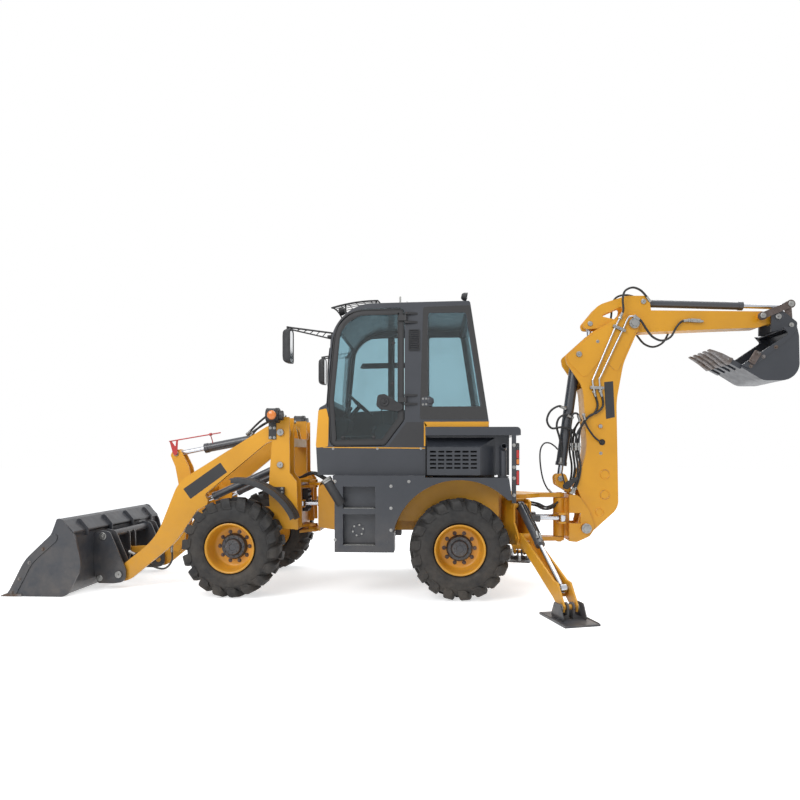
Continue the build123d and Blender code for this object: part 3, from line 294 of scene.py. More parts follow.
def scoured(name, bright, rust):
    """Steel ground bare by soil: patches of bright metal and of dull rust, with a coarse relief."""
    material, tree, shader = finish(name)
    patches = ranged(tree, noise(tree, 7.0, 8.0, 0.7), 0.42, 0.60)
    tree.links.new(mixed(tree, patches, bright, rust), shader.inputs["Base Color"])
    tree.links.new(ranged(tree, patches, 0.0, 1.0, 0.75, 0.0), shader.inputs["Metallic"])
    tree.links.new(ranged(tree, noise(tree, 30.0, 6.0), 0.3, 0.7, 0.32, 0.70), shader.inputs["Roughness"])
    bumped(tree, shader, noise(tree, 45.0, 8.0, 0.7), 0.35, 0.0015)
    return material


worn_steel = scoured("worn_steel", (0.22, 0.21, 0.21), (0.10, 0.065, 0.045))
link_iron = scoured("link_iron", (0.15, 0.12, 0.11), (0.085, 0.060, 0.050))
engine_iron = scoured("engine_iron", (0.10, 0.10, 0.11), (0.05, 0.05, 0.055))

# %% [markdown]
# Rubber is matt and nearly black, but it greys where it flexes and dust sits in its corners.  Moulded
# plastic has a fine leather-like grain.  Glass is thin and slightly blue-green, so it is a clear shader
# with a tint.

# %% Rubber, plastic and glass
def rubbery(name, colour, grey, grain_scale, relief, rough=0.62):
    """Rubber or moulded plastic: two tones in clouds and a fine pebbled grain."""
    material, tree, shader = finish(name)
    tone = mixed(tree, ranged(tree, noise(tree, 6.0, 6.0), 0.38, 0.72), colour, grey)
    tree.links.new(mixed(tree, dust(tree, 1.0, 0.30), tone, DUST_COLOUR), shader.inputs["Base Color"])
    tree.links.new(ranged(tree, noise(tree, 22.0), 0.3, 0.7, rough, rough + 0.18),
                   shader.inputs["Roughness"])
    bumped(tree, shader, noise(tree, grain_scale, 3.0), relief, 0.001)
    return material


tyre_rubber = rubbery("tyre_rubber", (0.013, 0.013, 0.014), (0.030, 0.028, 0.026), 240.0, 0.35)
hose_rubber = rubbery("hose_rubber", (0.012, 0.012, 0.013), (0.020, 0.020, 0.021), 400.0, 0.15, 0.42)
grained_plastic = rubbery("grained_plastic", (0.020, 0.020, 0.022), (0.030, 0.030, 0.032), 500.0, 0.25, 0.50)
seat_vinyl = rubbery("seat_vinyl", (0.020, 0.021, 0.023), (0.033, 0.033, 0.035), 700.0, 0.30, 0.48)


def glazed(name, tint, rough):
    """Tinted safety glass with a faint film of dirt that varies its gloss."""
    material, tree, shader = finish(name)
    shader.inputs["Transmission Weight"].default_value = 1.0
    shader.inputs["IOR"].default_value = 1.45
    film = ranged(tree, noise(tree, 3.0, 7.0), 0.45, 0.85)
    tree.links.new(mixed(tree, film, tint, tuple(0.93 * c for c in tint)), shader.inputs["Base Color"])
    tree.links.new(ranged(tree, film, 0.0, 1.0, rough, rough + 0.05), shader.inputs["Roughness"])
    return material


cab_glass_finish = glazed("cab_glass_tint", (0.48, 0.64, 0.69), 0.01)
clear_lens = glazed("clear_lens", (0.93, 0.95, 0.96), 0.04)
amber_lens = painted("amber_lens", (0.82, 0.23, 0.020), (0.74, 0.20, 0.020), (0.60, 0.20, 0.03), 0.10, 0.60)
red_lens = painted("red_lens", (0.60, 0.020, 0.015), (0.50, 0.018, 0.014), (0.40, 0.03, 0.02), 0.10, 0.60)
black_glass = painted("black_glass", (0.010, 0.010, 0.011), (0.014, 0.014, 0.015), (0.05, 0.05, 0.05), 0.08,
                      0.60)
mirror_silver = polished("mirror_silver", (0.78, 0.80, 0.82), 0.02, (1, 1, 1))
red_paint = painted("red_paint", (0.55, 0.030, 0.030), (0.48, 0.030, 0.030), (0.20, 0.10, 0.08), 0.30, 0.30)

# %% [markdown]
# The nodes of the frame already have their true shapes, so most of them only need a finish.  One table says
# which finish each of them takes.

# %% Finishes of the frame's own nodes
FINISH_NODES = (
    (yellow, "rear_frame front_frame backhoe_frame loader_boom rocker tilt_link swing_post backhoe_boom"
             " dipper stabilizer_leg_left stabilizer_leg_right"),
    (charcoal, "hood side_boxes cab_shell quick_hitch loader_bucket digging_bucket stabilizer_pad_left"
               " stabilizer_pad_right"),
    (black, "front_axle rear_axle front_fenders cab_fittings door"),
    (ram_paint, "lift_barrels tilt_barrel steer_barrel_left steer_barrel_right swing_barrel_left"
                " swing_barrel_right boom_barrel dipper_barrel bucket_barrel stabilizer_barrel_left"
                " stabilizer_barrel_right"),
    (chrome, "lift_rods tilt_rod steer_rod_left steer_rod_right swing_rod_left swing_rod_right boom_rod"
             " dipper_rod bucket_rod stabilizer_rod_left stabilizer_rod_right"),
    (tyre_rubber, "tyre_front_left tyre_front_right tyre_rear_left tyre_rear_right"),
    (yellow, "rim_front_left rim_front_right rim_rear_left rim_rear_right"),
    (link_iron, "guide_link bucket_link"),
    (engine_iron, "engine_block"),
    (cab_glass_finish, "cab_glass door_glass"),
    (seat_vinyl, "seat"),
)
for material, names in FINISH_NODES:
    for name in names.split():
        NODES[name].data.materials.clear()
        NODES[name].data.materials.append(material)
unfinished = set(NODES) - {n for _, names in FINISH_NODES for n in names.split()}
print("nodes without a finish:", sorted(unfinished))

# %% [markdown]
# Every new piece is a surface worked out from numbers.  Three kinds cover nearly all of them: a profile
# turned round an axis, a circle carried along a path, and a flat outline with a thickness.  All three are
# rings of points joined by four-sided faces.  Small parts of one finish are joined into one mesh, because
# a hundred separate bolts would be a hundred names.

# %% Surface helpers
def unit(vector):
    """The vector divided by its own length."""
    vector = np.array(vector, float)
    return vector / np.linalg.norm(vector)


def ring_faces(rows, columns, rows_close):
    """Four-sided faces between neighbours in a grid of points whose columns close on themselves."""
    row, column = np.meshgrid(np.arange(rows if rows_close else rows - 1), np.arange(columns), indexing="ij")
    below, beside = (row + 1) % rows, (column + 1) % columns
    corners = (row * columns + column, row * columns + beside, below * columns + beside,
               below * columns + column)
    return np.stack(corners, -1).reshape(-1, 4)


def lofted(rings, rows_close=False):
    """Surface through rings of points, one ring a row, with its ends filled unless the rows close too."""
    rows, columns = rings.shape[:2]
    blocks = [ring_faces(rows, columns, rows_close)]
    if not rows_close:
        blocks += [np.arange(columns)[None], np.arange(columns)[None] + (rows - 1) * columns]
    return rings.reshape(-1, 3), blocks


def circle_about(axis, steps, start=0.0):
    """Circle of radius 1 about an axis: cosine times one side direction plus sine times the other."""
    axis = unit(axis)
    side = unit(np.cross(axis, (0, 0, 1) if abs(axis[2]) < 0.9 else (1, 0, 0)))
    turn = start + np.linspace(0, 2 * np.pi, steps, endpoint=False)
    return np.cos(turn)[:, None] * side + np.sin(turn)[:, None] * np.cross(axis, side)


def turned(profile, centre, axis=(0, 1, 0), steps=48, loop=False, start=0.0):
    """Surface of revolution: each (along, radius) of the profile becomes a circle about the axis."""
    along, radius = np.array(profile, float).T
    rings = (np.array(centre, float) + along[:, None, None] * unit(axis)
             + radius[:, None, None] * circle_about(axis, steps, start))
    return lofted(rings, loop)


def smooth_path(points, share=10):
    """Curve through the points: between two of them, the cubic whose end slopes are half the step from the
    point before to the point after."""
    p = np.array(points, float)
    p = np.concatenate([[2 * p[0] - p[1]], p, [2 * p[-1] - p[-2]]])
    t = np.linspace(0, 1, share, endpoint=False)[None, :, None]
    a, b, c, d = p[:-3, None], p[1:-2, None], p[2:-1, None], p[3:, None]
    runs = 0.5 * (2 * b + (c - a) * t + (2 * a - 5 * b + 4 * c - d) * t ** 2
                  + (3 * b - a - 3 * c + d) * t ** 3)
    return np.concatenate([runs.reshape(-1, 3), p[-2:-1]])


def tube(path, radius, sides=12):
    """Circle carried along a path.  Its side direction is the last one made square to the new direction."""
    path = np.array(path, float)
    ahead = np.gradient(path, axis=0)
    ahead /= np.linalg.norm(ahead, axis=1)[:, None]
    side = [circle_about(ahead[0], 4)[0]]
    for direction in ahead[1:]:
        side.append(unit(side[-1] - direction * np.dot(side[-1], direction)))
    side = np.array(side)
    turn = np.linspace(0, 2 * np.pi, sides, endpoint=False)[None, :, None]
    ring = np.cos(turn) * side[:, None] + np.sin(turn) * np.cross(ahead, side)[:, None]
    return lofted(path[:, None] + np.broadcast_to(radius, len(path))[:, None, None] * ring)


PLANES = {"x": (1, 2, 0), "y": (0, 2, 1), "z": (0, 1, 2)}
SIDES = (("left", -1), ("right", 1))


def prism(outline, low, high, across="y"):
    """Flat outline between two levels along one axis: the outline at each level, joined by a wall."""
    outline = np.array(outline, float)
    rings = np.zeros((2, len(outline), 3))
    first, second, third = PLANES[across]
    rings[:, :, first], rings[:, :, second] = outline[:, 0], outline[:, 1]
    rings[:, :, third] = np.array([low, high])[:, None]
    return lofted(rings)


def rectangle(low, high):
    """Four corners of a rectangle, from its low corner round by way of the other three."""
    return (low[0], low[1]), (high[0], low[1]), (high[0], high[1]), (low[0], high[1])


def between(side, inner, outer):
    """Two distances across on one side (-1 or 1), the lower number first."""
    return sorted((side * inner, side * outer))


def stamped(surface, places):
    """Copies of one surface at many places: its points shifted by each place, its faces counted on."""
    points, blocks = surface
    places = np.array(places, float).reshape(-1, 3)
    count = np.arange(len(places))[:, None, None] * len(points)
    return ((points[None] + places[:, None]).reshape(-1, 3),
            [(block[None] + count).reshape(-1, block.shape[1]) for block in blocks])


def hexagon_bolts(places, axis, size=0.024):
    """Hexagon heads with chamfered corners, each on a washer; the size is across the head's flats."""
    washer = turned([(-0.1 * size, 0.95 * size), (0.12 * size, 0.95 * size), (0.16 * size, 0.88 * size)],
                    (0, 0, 0), axis, 18)
    head = turned([(0.1 * size, 0.577 * size), (0.62 * size, 0.577 * size), (0.74 * size, 0.46 * size)],
                  (0, 0, 0), axis, 6)
    return [stamped(washer, places), stamped(head, places)]


def made(name, parts, material, body, bevel=0.0, crease=38):
    """Object of these surfaces in one finish, riding on a body; faces that meet under the crease angle are
    shaded round."""
    points, faces, start = [], [], 0
    for surface, blocks in parts:
        points.append(surface)
        faces += [face for block in blocks for face in (block + start).tolist()]
        start += len(surface)
    mesh = bpy.data.meshes.new(name)
    mesh.from_pydata(np.concatenate(points), [], faces)
    work = bmesh.new()
    work.from_mesh(mesh)
    bmesh.ops.recalc_face_normals(work, faces=work.faces)
    work.to_mesh(mesh)
    work.free()
    mesh.polygons.foreach_set("use_smooth", np.ones(len(mesh.polygons), bool))
    mesh.set_sharp_from_angle(angle=radians(crease))
    mesh.materials.append(material)
    piece = bpy.data.objects.new(name, mesh)
    bpy.context.scene.collection.objects.link(piece)
    if bevel:
        edges = piece.modifiers.new("rounded_edges", "BEVEL")
        edges.width, edges.segments, edges.limit_method = bevel, 2, "ANGLE"
        edges.angle_limit = radians(crease)
    if isinstance(body, str):
        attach(piece, body)
    elif body:
        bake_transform(piece)
    print(f"{name}: {len(faces)} faces")
    return piece


def reach(node, point, direction):
    """Where a straight line from a point first meets a node of the frame."""
    hit, place, _, _ = NODES[node].ray_cast(Vector(point), Vector(direction))
    if not hit:
        raise ValueError(f"{node} isn't met from {point}")
    return np.array(place)


def outer_y(node, x, z, side):
    """How far out a node's surface is at a place in side view, met from outside on one side (-1 or 1)."""
    return reach(node, (x, 3.0 * side, z), (0, -side, 0))[1]


def wall_bolts(node, places, side, size):
    """Bolt heads on a node's side wall, at places in side view."""
    bolts = []
    for x, z in places:
        bolts += hexagon_bolts([(x, outer_y(node, x, z, side), z)], (0, side, 0), size)
    return bolts


# %% [markdown]
# The tyres are the wide lugged kind that farm and site machines wear.  The frame holds a faceted ring
# with plain lugs, so each tyre is made again in the same space.  Its section is a rounded rectangle,
# written as a superellipse, turned once round the axle.  A lug is a short loft that starts at the middle
# of the tread, leans a little backwards and wraps over the shoulder.  One lug is worked out, and all 36
# are turned copies.

# %% Tyres
WHEELS = {name: tuple((np.array(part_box(f"tyre_{name}")).sum(0) / 2).tolist())
          for name in ("front_left", "front_right", "rear_left", "rear_right")}
LUGS_A_SIDE = 18
ROUND_STEPS = 96                 # how many flats a tyre or rim is turned with
SECTION_MIDDLE = 0.379           # radius of the middle of the tyre's section
SECTION_HALF = (0.2015, 0.1235)  # its half width and half height
#             across, tread, foot, half width, lean in degrees
LUG_STATIONS = ((0.013, 0.5375, 0.480, 0.0400, 0.0), (0.080, 0.5370, 0.478, 0.0420, 1.2),
                (0.150, 0.5340, 0.470, 0.0450, 3.4), (0.186, 0.5180, 0.455, 0.0440, 5.2),
                (0.2015, 0.4920, 0.440, 0.0410, 6.6), (0.2020, 0.4520, 0.425, 0.0370, 8.0),
                (0.1960, 0.4300, 0.420, 0.0320, 8.8))
#                  radius, height, width of each raised ring on a sidewall
SIDEWALL_RINGS = ((0.290, 0.0040, 0.006), (0.318, 0.0025, 0.004), (0.352, 0.0022, 0.004))


def tyre_section(points=72):
    """Superellipse round the middle of the section, squarer at the beads than under the tread, with three
    low rings on each sidewall, each a bell-shaped bump in the distance outwards."""
    turn = np.linspace(0, 2 * np.pi, points, endpoint=False)
    power = np.where(np.sin(turn) > 0, 2.35, 3.0)
    across = SECTION_HALF[0] * np.sign(np.cos(turn)) * np.abs(np.cos(turn)) ** (2 / power)
    radius = SECTION_MIDDLE + SECTION_HALF[1] * np.sign(np.sin(turn)) * np.abs(np.sin(turn)) ** (2 / power)
    for ring, height, width in SIDEWALL_RINGS:
        bump = height * np.exp(-((radius - ring) / width) ** 2)
        across = across + np.sign(across) * bump * (np.abs(across) > 0.12)
    return np.stack([across, radius], 1)


def tyre_lugs(centre, side):
    """Loft through the stations, each with four corners, turned round the axle by equal steps."""
    across, tread, foot, half, lean = np.array(LUG_STATIONS).T
    radius = np.stack([foot, tread, tread, foot], 1)
    flank = np.stack([-1.18 * half, -half, half, 1.18 * half], 1) / radius
    step = 2 * np.pi / LUGS_A_SIDE
    start = (np.arange(LUGS_A_SIDE) + (0.5 if side > 0 else 0.0)) * step
    angle = start[:, None, None] - np.radians(lean)[None, :, None] + flank[None]
    rings = np.stack([centre[0] + radius * np.cos(angle),
                      centre[1] + side * np.broadcast_to(across[:, None], angle.shape[1:])
                      + np.zeros(angle.shape), centre[2] + radius * np.sin(angle)], -1)
    return [lofted(lug) for lug in rings]


section = tyre_section()
for name, centre in WHEELS.items():
    ring = turned(section, centre, steps=ROUND_STEPS, loop=True)
    lugs = tyre_lugs(centre, -1) + tyre_lugs(centre, 1)
    tyre = made(f"treaded_tyre_{name}", [ring] + lugs, tyre_rubber, f"wheel_{name}", bevel=0.005, crease=34)
    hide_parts(f"tyre_{name}")

# %% [markdown]
# A rim is one rolled section: two flanges that hold the tyre's beads, a well between them, and a dished
# disc welded inside.  Its outline is closed, so turning it gives metal of a real thickness.  Ten bolts
# and a planetary hub with its own ring of bolts stand on the disc, in dark casting paint.

# %% Rims and hubs
#              (out of the wheel, radius)
RIM_SECTION = ((0.178, 0.271), (0.183, 0.2625), (0.178, 0.254), (0.166, 0.247), (0.120, 0.244),
               (0.045, 0.236), (0.004, 0.226), (-0.010, 0.212), (-0.016, 0.196), (-0.013, 0.160),
               (-0.016, 0.124), (-0.016, 0.060), (-0.032, 0.060), (-0.032, 0.212), (-0.046, 0.232),
               (-0.166, 0.247), (-0.178, 0.254), (-0.183, 0.2625), (-0.178, 0.271), (-0.166, 0.2565),
               (0.166, 0.2565))
HUB_SECTION = ((-0.014, 0.062), (-0.014, 0.142), (0.004, 0.142), (0.010, 0.136), (0.036, 0.130),
               (0.042, 0.124), (0.042, 0.096), (0.048, 0.091), (0.070, 0.086), (0.078, 0.078),
               (0.080, 0.040), (0.074, 0.034), (0.074, 0.010))


def polar_places(centre, out, radius, count, start=0.0):
    """Places on a circle about the wheel's axle, at a distance out along it."""
    turn = start + np.arange(count) * 2 * np.pi / count
    return np.stack([centre[0] + radius * np.cos(turn), centre[1] + np.full(count, out),
                     centre[2] + radius * np.sin(turn)], 1)


for name, centre in WHEELS.items():
    side = -1 if centre[1] < 0 else 1
    ring = turned([(side * y, r) for y, r in RIM_SECTION], centre, steps=ROUND_STEPS, loop=True)
    rim = made(f"steel_rim_{name}", [ring], yellow, f"wheel_{name}", crease=50)
    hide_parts(f"rim_{name}")
    out = (0, side, 0)
    hub = made(f"planetary_hub_{name}",
               [turned([(side * y, r) for y, r in HUB_SECTION], centre, steps=64)]
               + hexagon_bolts(polar_places(centre, side * 0.0415, 0.110, 12), out, 0.018)
               + hexagon_bolts(polar_places(centre, side * 0.078, 0.060, 8), out, 0.013),
               charcoal, f"wheel_{name}", crease=30)
    nuts = made(f"wheel_nuts_{name}",
                hexagon_bolts(polar_places(centre, side * -0.015, 0.165, 10), out, 0.024), link_iron,
                f"wheel_{name}", crease=30)


# %% [markdown]
# Every joint of the machine turns on a steel pin, and what shows outside is the pin's head: a zinc-plated
# disc with a hexagon bolt that stops it turning.  The heads sit on the frame's own surfaces, so each
# place is found by looking inwards from outside until the node is met, and no distance is guessed.

# %% Pin heads
#           body, node, x, z, head radius
PINS = (("front_body", "front_frame", -1.450, 1.800, 0.040),
        ("front_body", "front_frame", -1.452, 1.431, 0.036),
        ("loader_boom", "loader_boom", -3.340, 0.165, 0.040), ("rocker", "rocker", -2.885, 1.560, 0.032),
        ("loader_bucket", "quick_hitch", -3.530, 0.605, 0.042),
        ("loader_bucket", "quick_hitch", -3.565, 0.120, 0.034),
        ("swing_post", "swing_post", 1.791, 1.263, 0.034),
        ("backhoe_boom", "backhoe_boom", 1.993, 2.729, 0.033),
        ("backhoe_boom", "backhoe_boom", 2.240, 1.880, 0.024), ("dipper", "dipper", 2.136, 3.098, 0.030),
        ("dipper", "dipper", 2.754, 3.351, 0.030), ("dipper", "dipper", 4.078, 3.150, 0.032),
        ("guide_link", "guide_link", 4.394, 3.283, 0.033),
        ("digging_bucket", "digging_bucket", 4.263, 3.143, 0.034),
        ("digging_bucket", "digging_bucket", 4.411, 3.044, 0.028))
GREAT_PINS = (("swing_post", "swing_post", 2.067, 0.685, 0.060),
              ("backhoe_boom", "backhoe_boom", 2.629, 3.084, 0.062))


def pin_head(place, side, radius):
    """Bevelled disc with a hexagon bolt in its middle."""
    disc = turned([(-0.004, radius), (0.008, radius), (0.012, 0.88 * radius)], place, (0, side, 0), 32)
    return [disc] + hexagon_bolts([place + np.array((0, side * 0.010, 0))], (0, side, 0), 0.52 * radius)


def great_head(place, side, radius):
    """Castle nut: a twelve-sided collar with a round crown, and a ring of six small bolts on it."""
    collar = turned([(-0.004, radius), (0.020, radius), (0.025, 0.93 * radius)], place, (0, side, 0), 12)
    crown = turned([(0.022, 0.62 * radius), (0.033, 0.58 * radius), (0.035, 0.40 * radius)], place,
                   (0, side, 0), 32)
    turn = np.arange(6) * np.pi / 3
    ring = place + np.stack([0.78 * radius * np.cos(turn), np.full(6, side * 0.024),
                             0.78 * radius * np.sin(turn)], 1)
    return [collar, crown] + hexagon_bolts(ring, (0, side, 0), 0.011)


heads = {}
for table, head in ((PINS, pin_head), (GREAT_PINS, great_head)):
    for body, node, x, z, radius in table:
        for side in (-1, 1):
            # a little off the pin's own centre, so that a centre hole is missed
            place = np.array((x, outer_y(node, x + 0.003, z + 0.002, side), z))
            heads.setdefault(body, []).extend(head(place, side, radius))
for body, parts in heads.items():
    made(f"pin_heads_{body}", parts, zinc, body, crease=30)

# %% [markdown]
# The stabilizer legs swing out sideways and a little rearwards, so their pins lie across that direction.
# The same heads are turned to it.  The hinge's place and the leg's reach and drop are those of the
# frame's legs.

# %% Stabilizer pins
LEG_SWEEP = radians(16)
LEG_HINGE = (1.275, 0.720, 0.640)
LEG_REACH, LEG_DROP = 1.000, 0.520
LEG_FOOT_HALF = 0.077


def along_leg(side, out, up, across=0.0):
    """Place on a leg's own plane: out from its hinge along the sweep, up, and across the plane."""
    direction = np.array((np.sin(LEG_SWEEP), side * np.cos(LEG_SWEEP), 0))
    square = np.array((np.cos(LEG_SWEEP), -side * np.sin(LEG_SWEEP), 0))
    hinge = np.array((LEG_HINGE[0], side * LEG_HINGE[1], LEG_HINGE[2]))
    return hinge + out * direction + across * square + np.array((0, 0, up))


for name, side in SIDES:
    square = along_leg(side, 0, 0, 1.0) - along_leg(side, 0, 0)
    foot_heads = []
    for end in (-1, 1):
        place = along_leg(side, LEG_REACH, -LEG_DROP, end * LEG_FOOT_HALF)
        foot_heads += [turned([(-0.004, 0.038), (0.008, 0.038), (0.012, 0.033)], place, end * square, 32)]
        foot_heads += hexagon_bolts([place + end * 0.010 * square], end * square, 0.020)
    made(f"stabilizer_foot_pins_{name}", foot_heads, zinc, f"stabilizer_leg_{name}", crease=30)

# %% [markdown] Oil reaches the rams through steel pipes where nothing bends, and through rubber hoses
# where it does. A pipe or hose is a circle carried along a curve, with a crimped steel sleeve and a nut
# at each end of the rubber.

# %% Pipes and hoses
HOSE_R, PIPE_R = 0.0125, 0.0105


def coupling(place, direction, radius):
    """Crimped sleeve with three pressed grooves and a hexagon nut; the direction points out of the hose."""
    sleeve = turned([(-0.062, 1.05 * radius), (-0.060, 1.42 * radius), (-0.048, 1.42 * radius),
                     (-0.046, 1.28 * radius), (-0.042, 1.28 * radius), (-0.040, 1.42 * radius),
                     (-0.030, 1.42 * radius), (-0.028, 1.28 * radius), (-0.024, 1.28 * radius),
                     (-0.022, 1.42 * radius), (-0.008, 1.42 * radius), (-0.006, 1.10 * radius)], place,
                    direction, 20)
    nut = turned([(-0.007, 1.55 * radius), (-0.005, 1.80 * radius), (0.014, 1.80 * radius),
                  (0.017, 1.55 * radius)], place, direction, 6)
    return [sleeve, nut]


def hose(name, points, body, radius=HOSE_R, ends=(True, True)):
    """Rubber tube through the points and, as a second piece, its couplings at the ends that have them."""
    path = smooth_path(points, 12)
    made(name, [tube(path, radius, 14)], hose_rubber, body, crease=80)
    fittings = []
    if ends[0]:
        fittings += coupling(path[0], path[0] - path[1], radius)
    if ends[1]:
        fittings += coupling(path[-1], path[-1] - path[-2], radius)
    if fittings:
        made(f"{name}_couplings", fittings, zinc, body, crease=30)


def flat_points(points, y):
    """Points of a side view, (x, z), with one distance across or one each."""
    points = np.array(points, float)
    return np.stack([points[:, 0], np.broadcast_to(y, len(points)), points[:, 1]], 1)


ARM_FACE = 0.138
PIPE_Y = -(ARM_FACE + 0.028)
LONG_PIPES = (((2.462, 3.148), (2.440, 3.105), (2.405, 3.032), (2.335, 2.866), (2.162, 2.457),
               (2.146, 2.419), (2.148, 2.375), (2.160, 2.317), (2.166, 2.272)),
              ((2.634, 3.157), (2.600, 3.166), (2.562, 3.152), (2.535, 3.105), (2.498, 3.016),
               (2.418, 2.850), (2.242, 2.470), (2.225, 2.434), (2.226, 2.390), (2.232, 2.316),
               (2.238, 2.272)))
pipes = []
for side in (-1, 1):
    for line in LONG_PIPES:
        pipes.append(tube(smooth_path(flat_points(line, -side * PIPE_Y), 5), PIPE_R, 12))
made("boom_oil_pipes", pipes, chrome, "backhoe_boom", crease=80)

CLAMPS = ((2.452, 3.024, 24), (2.196, 2.330, 3))            # x, z and turn in degrees of each pair's clamp
clamps, clamp_bolts = [], []
for side in (-1, 1):
    for x, z, turn in CLAMPS:
        across = np.array((np.cos(radians(turn)), -np.sin(radians(turn))))
        upward = np.array((np.sin(radians(turn)), np.cos(radians(turn))))
        corners = [np.array((x, z)) + a * across + u * upward
                   for a, u in ((-0.078, -0.017), (0.078, -0.017), (0.078, 0.017), (-0.078, 0.017))]
        low, high = between(side, ARM_FACE - 0.002, ARM_FACE + 0.046)
        clamps.append(prism(corners, low, high))
        middles = [np.array((x, z)) + a * across for a in (-0.066, 0.0, 0.066)]
        clamp_bolts += hexagon_bolts(flat_points(middles, side * (ARM_FACE + 0.046)), (0, side, 0), 0.015)
made("pipe_clamps", clamps, zinc, "backhoe_boom", bevel=0.004)
made("pipe_clamp_bolts", clamp_bolts, zinc, "backhoe_boom", crease=30)

KNEE = ("backhoe_boom", "dipper", (2.52, 0, 3.05), (2.86, 0, 3.12))
#             name, distance across at each point, side view
KNEE_HOSES = (("over_near", (-0.166, -0.166, -0.166, -0.160, -0.145, -0.125, -0.105, -0.085),
               ((2.462, 3.148), (2.500, 3.235), (2.494, 3.360), (2.520, 3.460), (2.610, 3.505),
                (2.705, 3.480), (2.776, 3.420), (2.826, 3.362))),
              ("over_far", (0.166, 0.166, 0.166, 0.160, 0.145, 0.120, 0.100, 0.080),
               ((2.440, 3.150), (2.455, 3.260), (2.462, 3.370), (2.505, 3.460), (2.590, 3.490),
                (2.690, 3.470), (2.770, 3.415), (2.836, 3.362))),
              ("under_near", (-0.166, -0.170, -0.172, -0.168, -0.155, -0.135, -0.120, -0.112, -0.108),
               ((2.634, 3.157), (2.700, 3.110), (2.762, 3.010), (2.838, 2.918), (2.946, 2.878),
                (3.054, 2.925), (3.124, 3.040), (3.190, 3.108), (3.266, 3.119))),
              ("under_far", (0.166, 0.170, 0.172, 0.168, 0.155, 0.135, 0.120, 0.112, 0.108),
               ((2.634, 3.157), (2.706, 3.100), (2.772, 2.990), (2.852, 2.895), (2.956, 2.858),
                (3.062, 2.908), (3.130, 3.030), (3.196, 3.108), (3.266, 3.119))))
for name, across, line in KNEE_HOSES:
    hose(f"knee_hose_{name}", flat_points(line, across), KNEE)

DIPPER_FACE = 0.088
couplers = []
for side in (-1, 1):
    out = (0, side, 0)
    low, high = between(side, DIPPER_FACE - 0.002, DIPPER_FACE + 0.040)
    couplers.append(prism(((3.285, 3.098), (3.400, 3.090), (3.400, 3.130), (3.285, 3.138)), low, high))
    couplers.append(tube(np.array(((3.262, side * 0.108, 3.119), (3.300, side * 0.108, 3.116),
                                   (3.385, side * 0.108, 3.110), (3.435, side * 0.108, 3.106))),
                         (0.014, 0.019, 0.019, 0.013), 12))
    couplers += hexagon_bolts(flat_points(((3.310, 3.116), (3.372, 3.111)), side * (DIPPER_FACE + 0.040)),
                              out, 0.018)
made("dipper_couplers", couplers, zinc, "dipper", bevel=0.002, crease=30)

# %% [markdown]
# Between the swing post and the boom the hoses hang in open loops, long enough for the boom to swing right
# over.  They differ in length and in how far they bulge, and two of them repeat on the far side.

# %% Hose bundle at the boom's root
ROOT = ("swing_post", "backhoe_boom", (1.95, 0, 1.00), (2.06, 0, 1.90))
BUNDLE = (("a", -0.150,
           ((2.166, 2.285), (2.196, 2.190), (2.206, 2.110), (2.166, 2.030), (2.085, 1.975), (2.020, 1.880),
            (1.992, 1.740), (1.990, 1.560), (2.010, 1.400), (1.985, 1.240), (1.930, 1.110))),
          ("b", -0.163,
           ((2.238, 2.285), (2.264, 2.190), (2.262, 2.110), (2.205, 2.045), (2.110, 2.000), (2.040, 1.910),
            (1.965, 1.780), (1.950, 1.600), (1.975, 1.420), (1.965, 1.260), (1.905, 1.100))),
          ("c", -0.100,
           ((2.015, 1.955), (1.985, 2.030), (1.930, 2.020), (1.905, 1.900), (1.920, 1.700), (1.945, 1.500),
            (1.955, 1.330), (1.900, 1.180))))
for name, y, line in BUNDLE:
    hose(f"root_hose_{name}", flat_points(line, y), ROOT)
for name, y, line in BUNDLE[:2]:
    hose(f"root_hose_far_{name}", flat_points(line, -y), ROOT)
hose("boom_ram_hose_a",
     flat_points(((1.835, 2.100), (1.760, 2.120), (1.665, 2.060), (1.625, 1.950), (1.680, 1.860),
                  (1.800, 1.870), (1.930, 1.830), (1.985, 1.700), (1.990, 1.520)),
                 (-0.095, -0.125, -0.126, -0.126, -0.125, -0.122, -0.105, -0.095, -0.090)), "backhoe_boom")
hose("boom_ram_hose_b",
     flat_points(((1.925, 1.985), (1.850, 2.020), (1.772, 1.980), (1.745, 1.880), (1.780, 1.740),
                  (1.800, 1.600), (1.790, 1.450)), -0.092), "boom_barrel")
hose("swing_hose",
     flat_points(((1.792, 1.610), (1.752, 1.652), (1.690, 1.688), (1.620, 1.680), (1.572, 1.600),
                  (1.565, 1.450), (1.590, 1.270), (1.640, 1.150), (1.700, 1.085)),
                 (0.086, 0.086, 0.075, 0.055, 0.020, -0.010, -0.030, -0.030, -0.030)), "swing_post", 0.009,
     (False, True))


def sleeve_rings(places, direction, radius):
    """Steel sleeves in the middle of hoses, where two lengths are joined."""
    profile = [(-0.045, 1.1 * radius), (-0.042, 1.5 * radius), (-0.012, 1.5 * radius),
               (-0.010, 1.9 * radius), (0.010, 1.9 * radius), (0.012, 1.5 * radius), (0.042, 1.5 * radius),
               (0.045, 1.1 * radius)]
    return [stamped(turned(profile, (0, 0, 0), direction, 16), places)]


made("root_hose_sleeves",
             sleeve_rings(((1.990, -0.150, 1.640), (1.950, -0.163, 1.640), (1.929, -0.100, 1.640)),
                          (0, 0, 1), HOSE_R), zinc, ROOT, crease=30)

# %% [markdown]
# At the front the oil crosses from the tower to the tilt ram in three arched hoses, and a last pair hangs
# under the loader arms to reach the bucket's hitch.

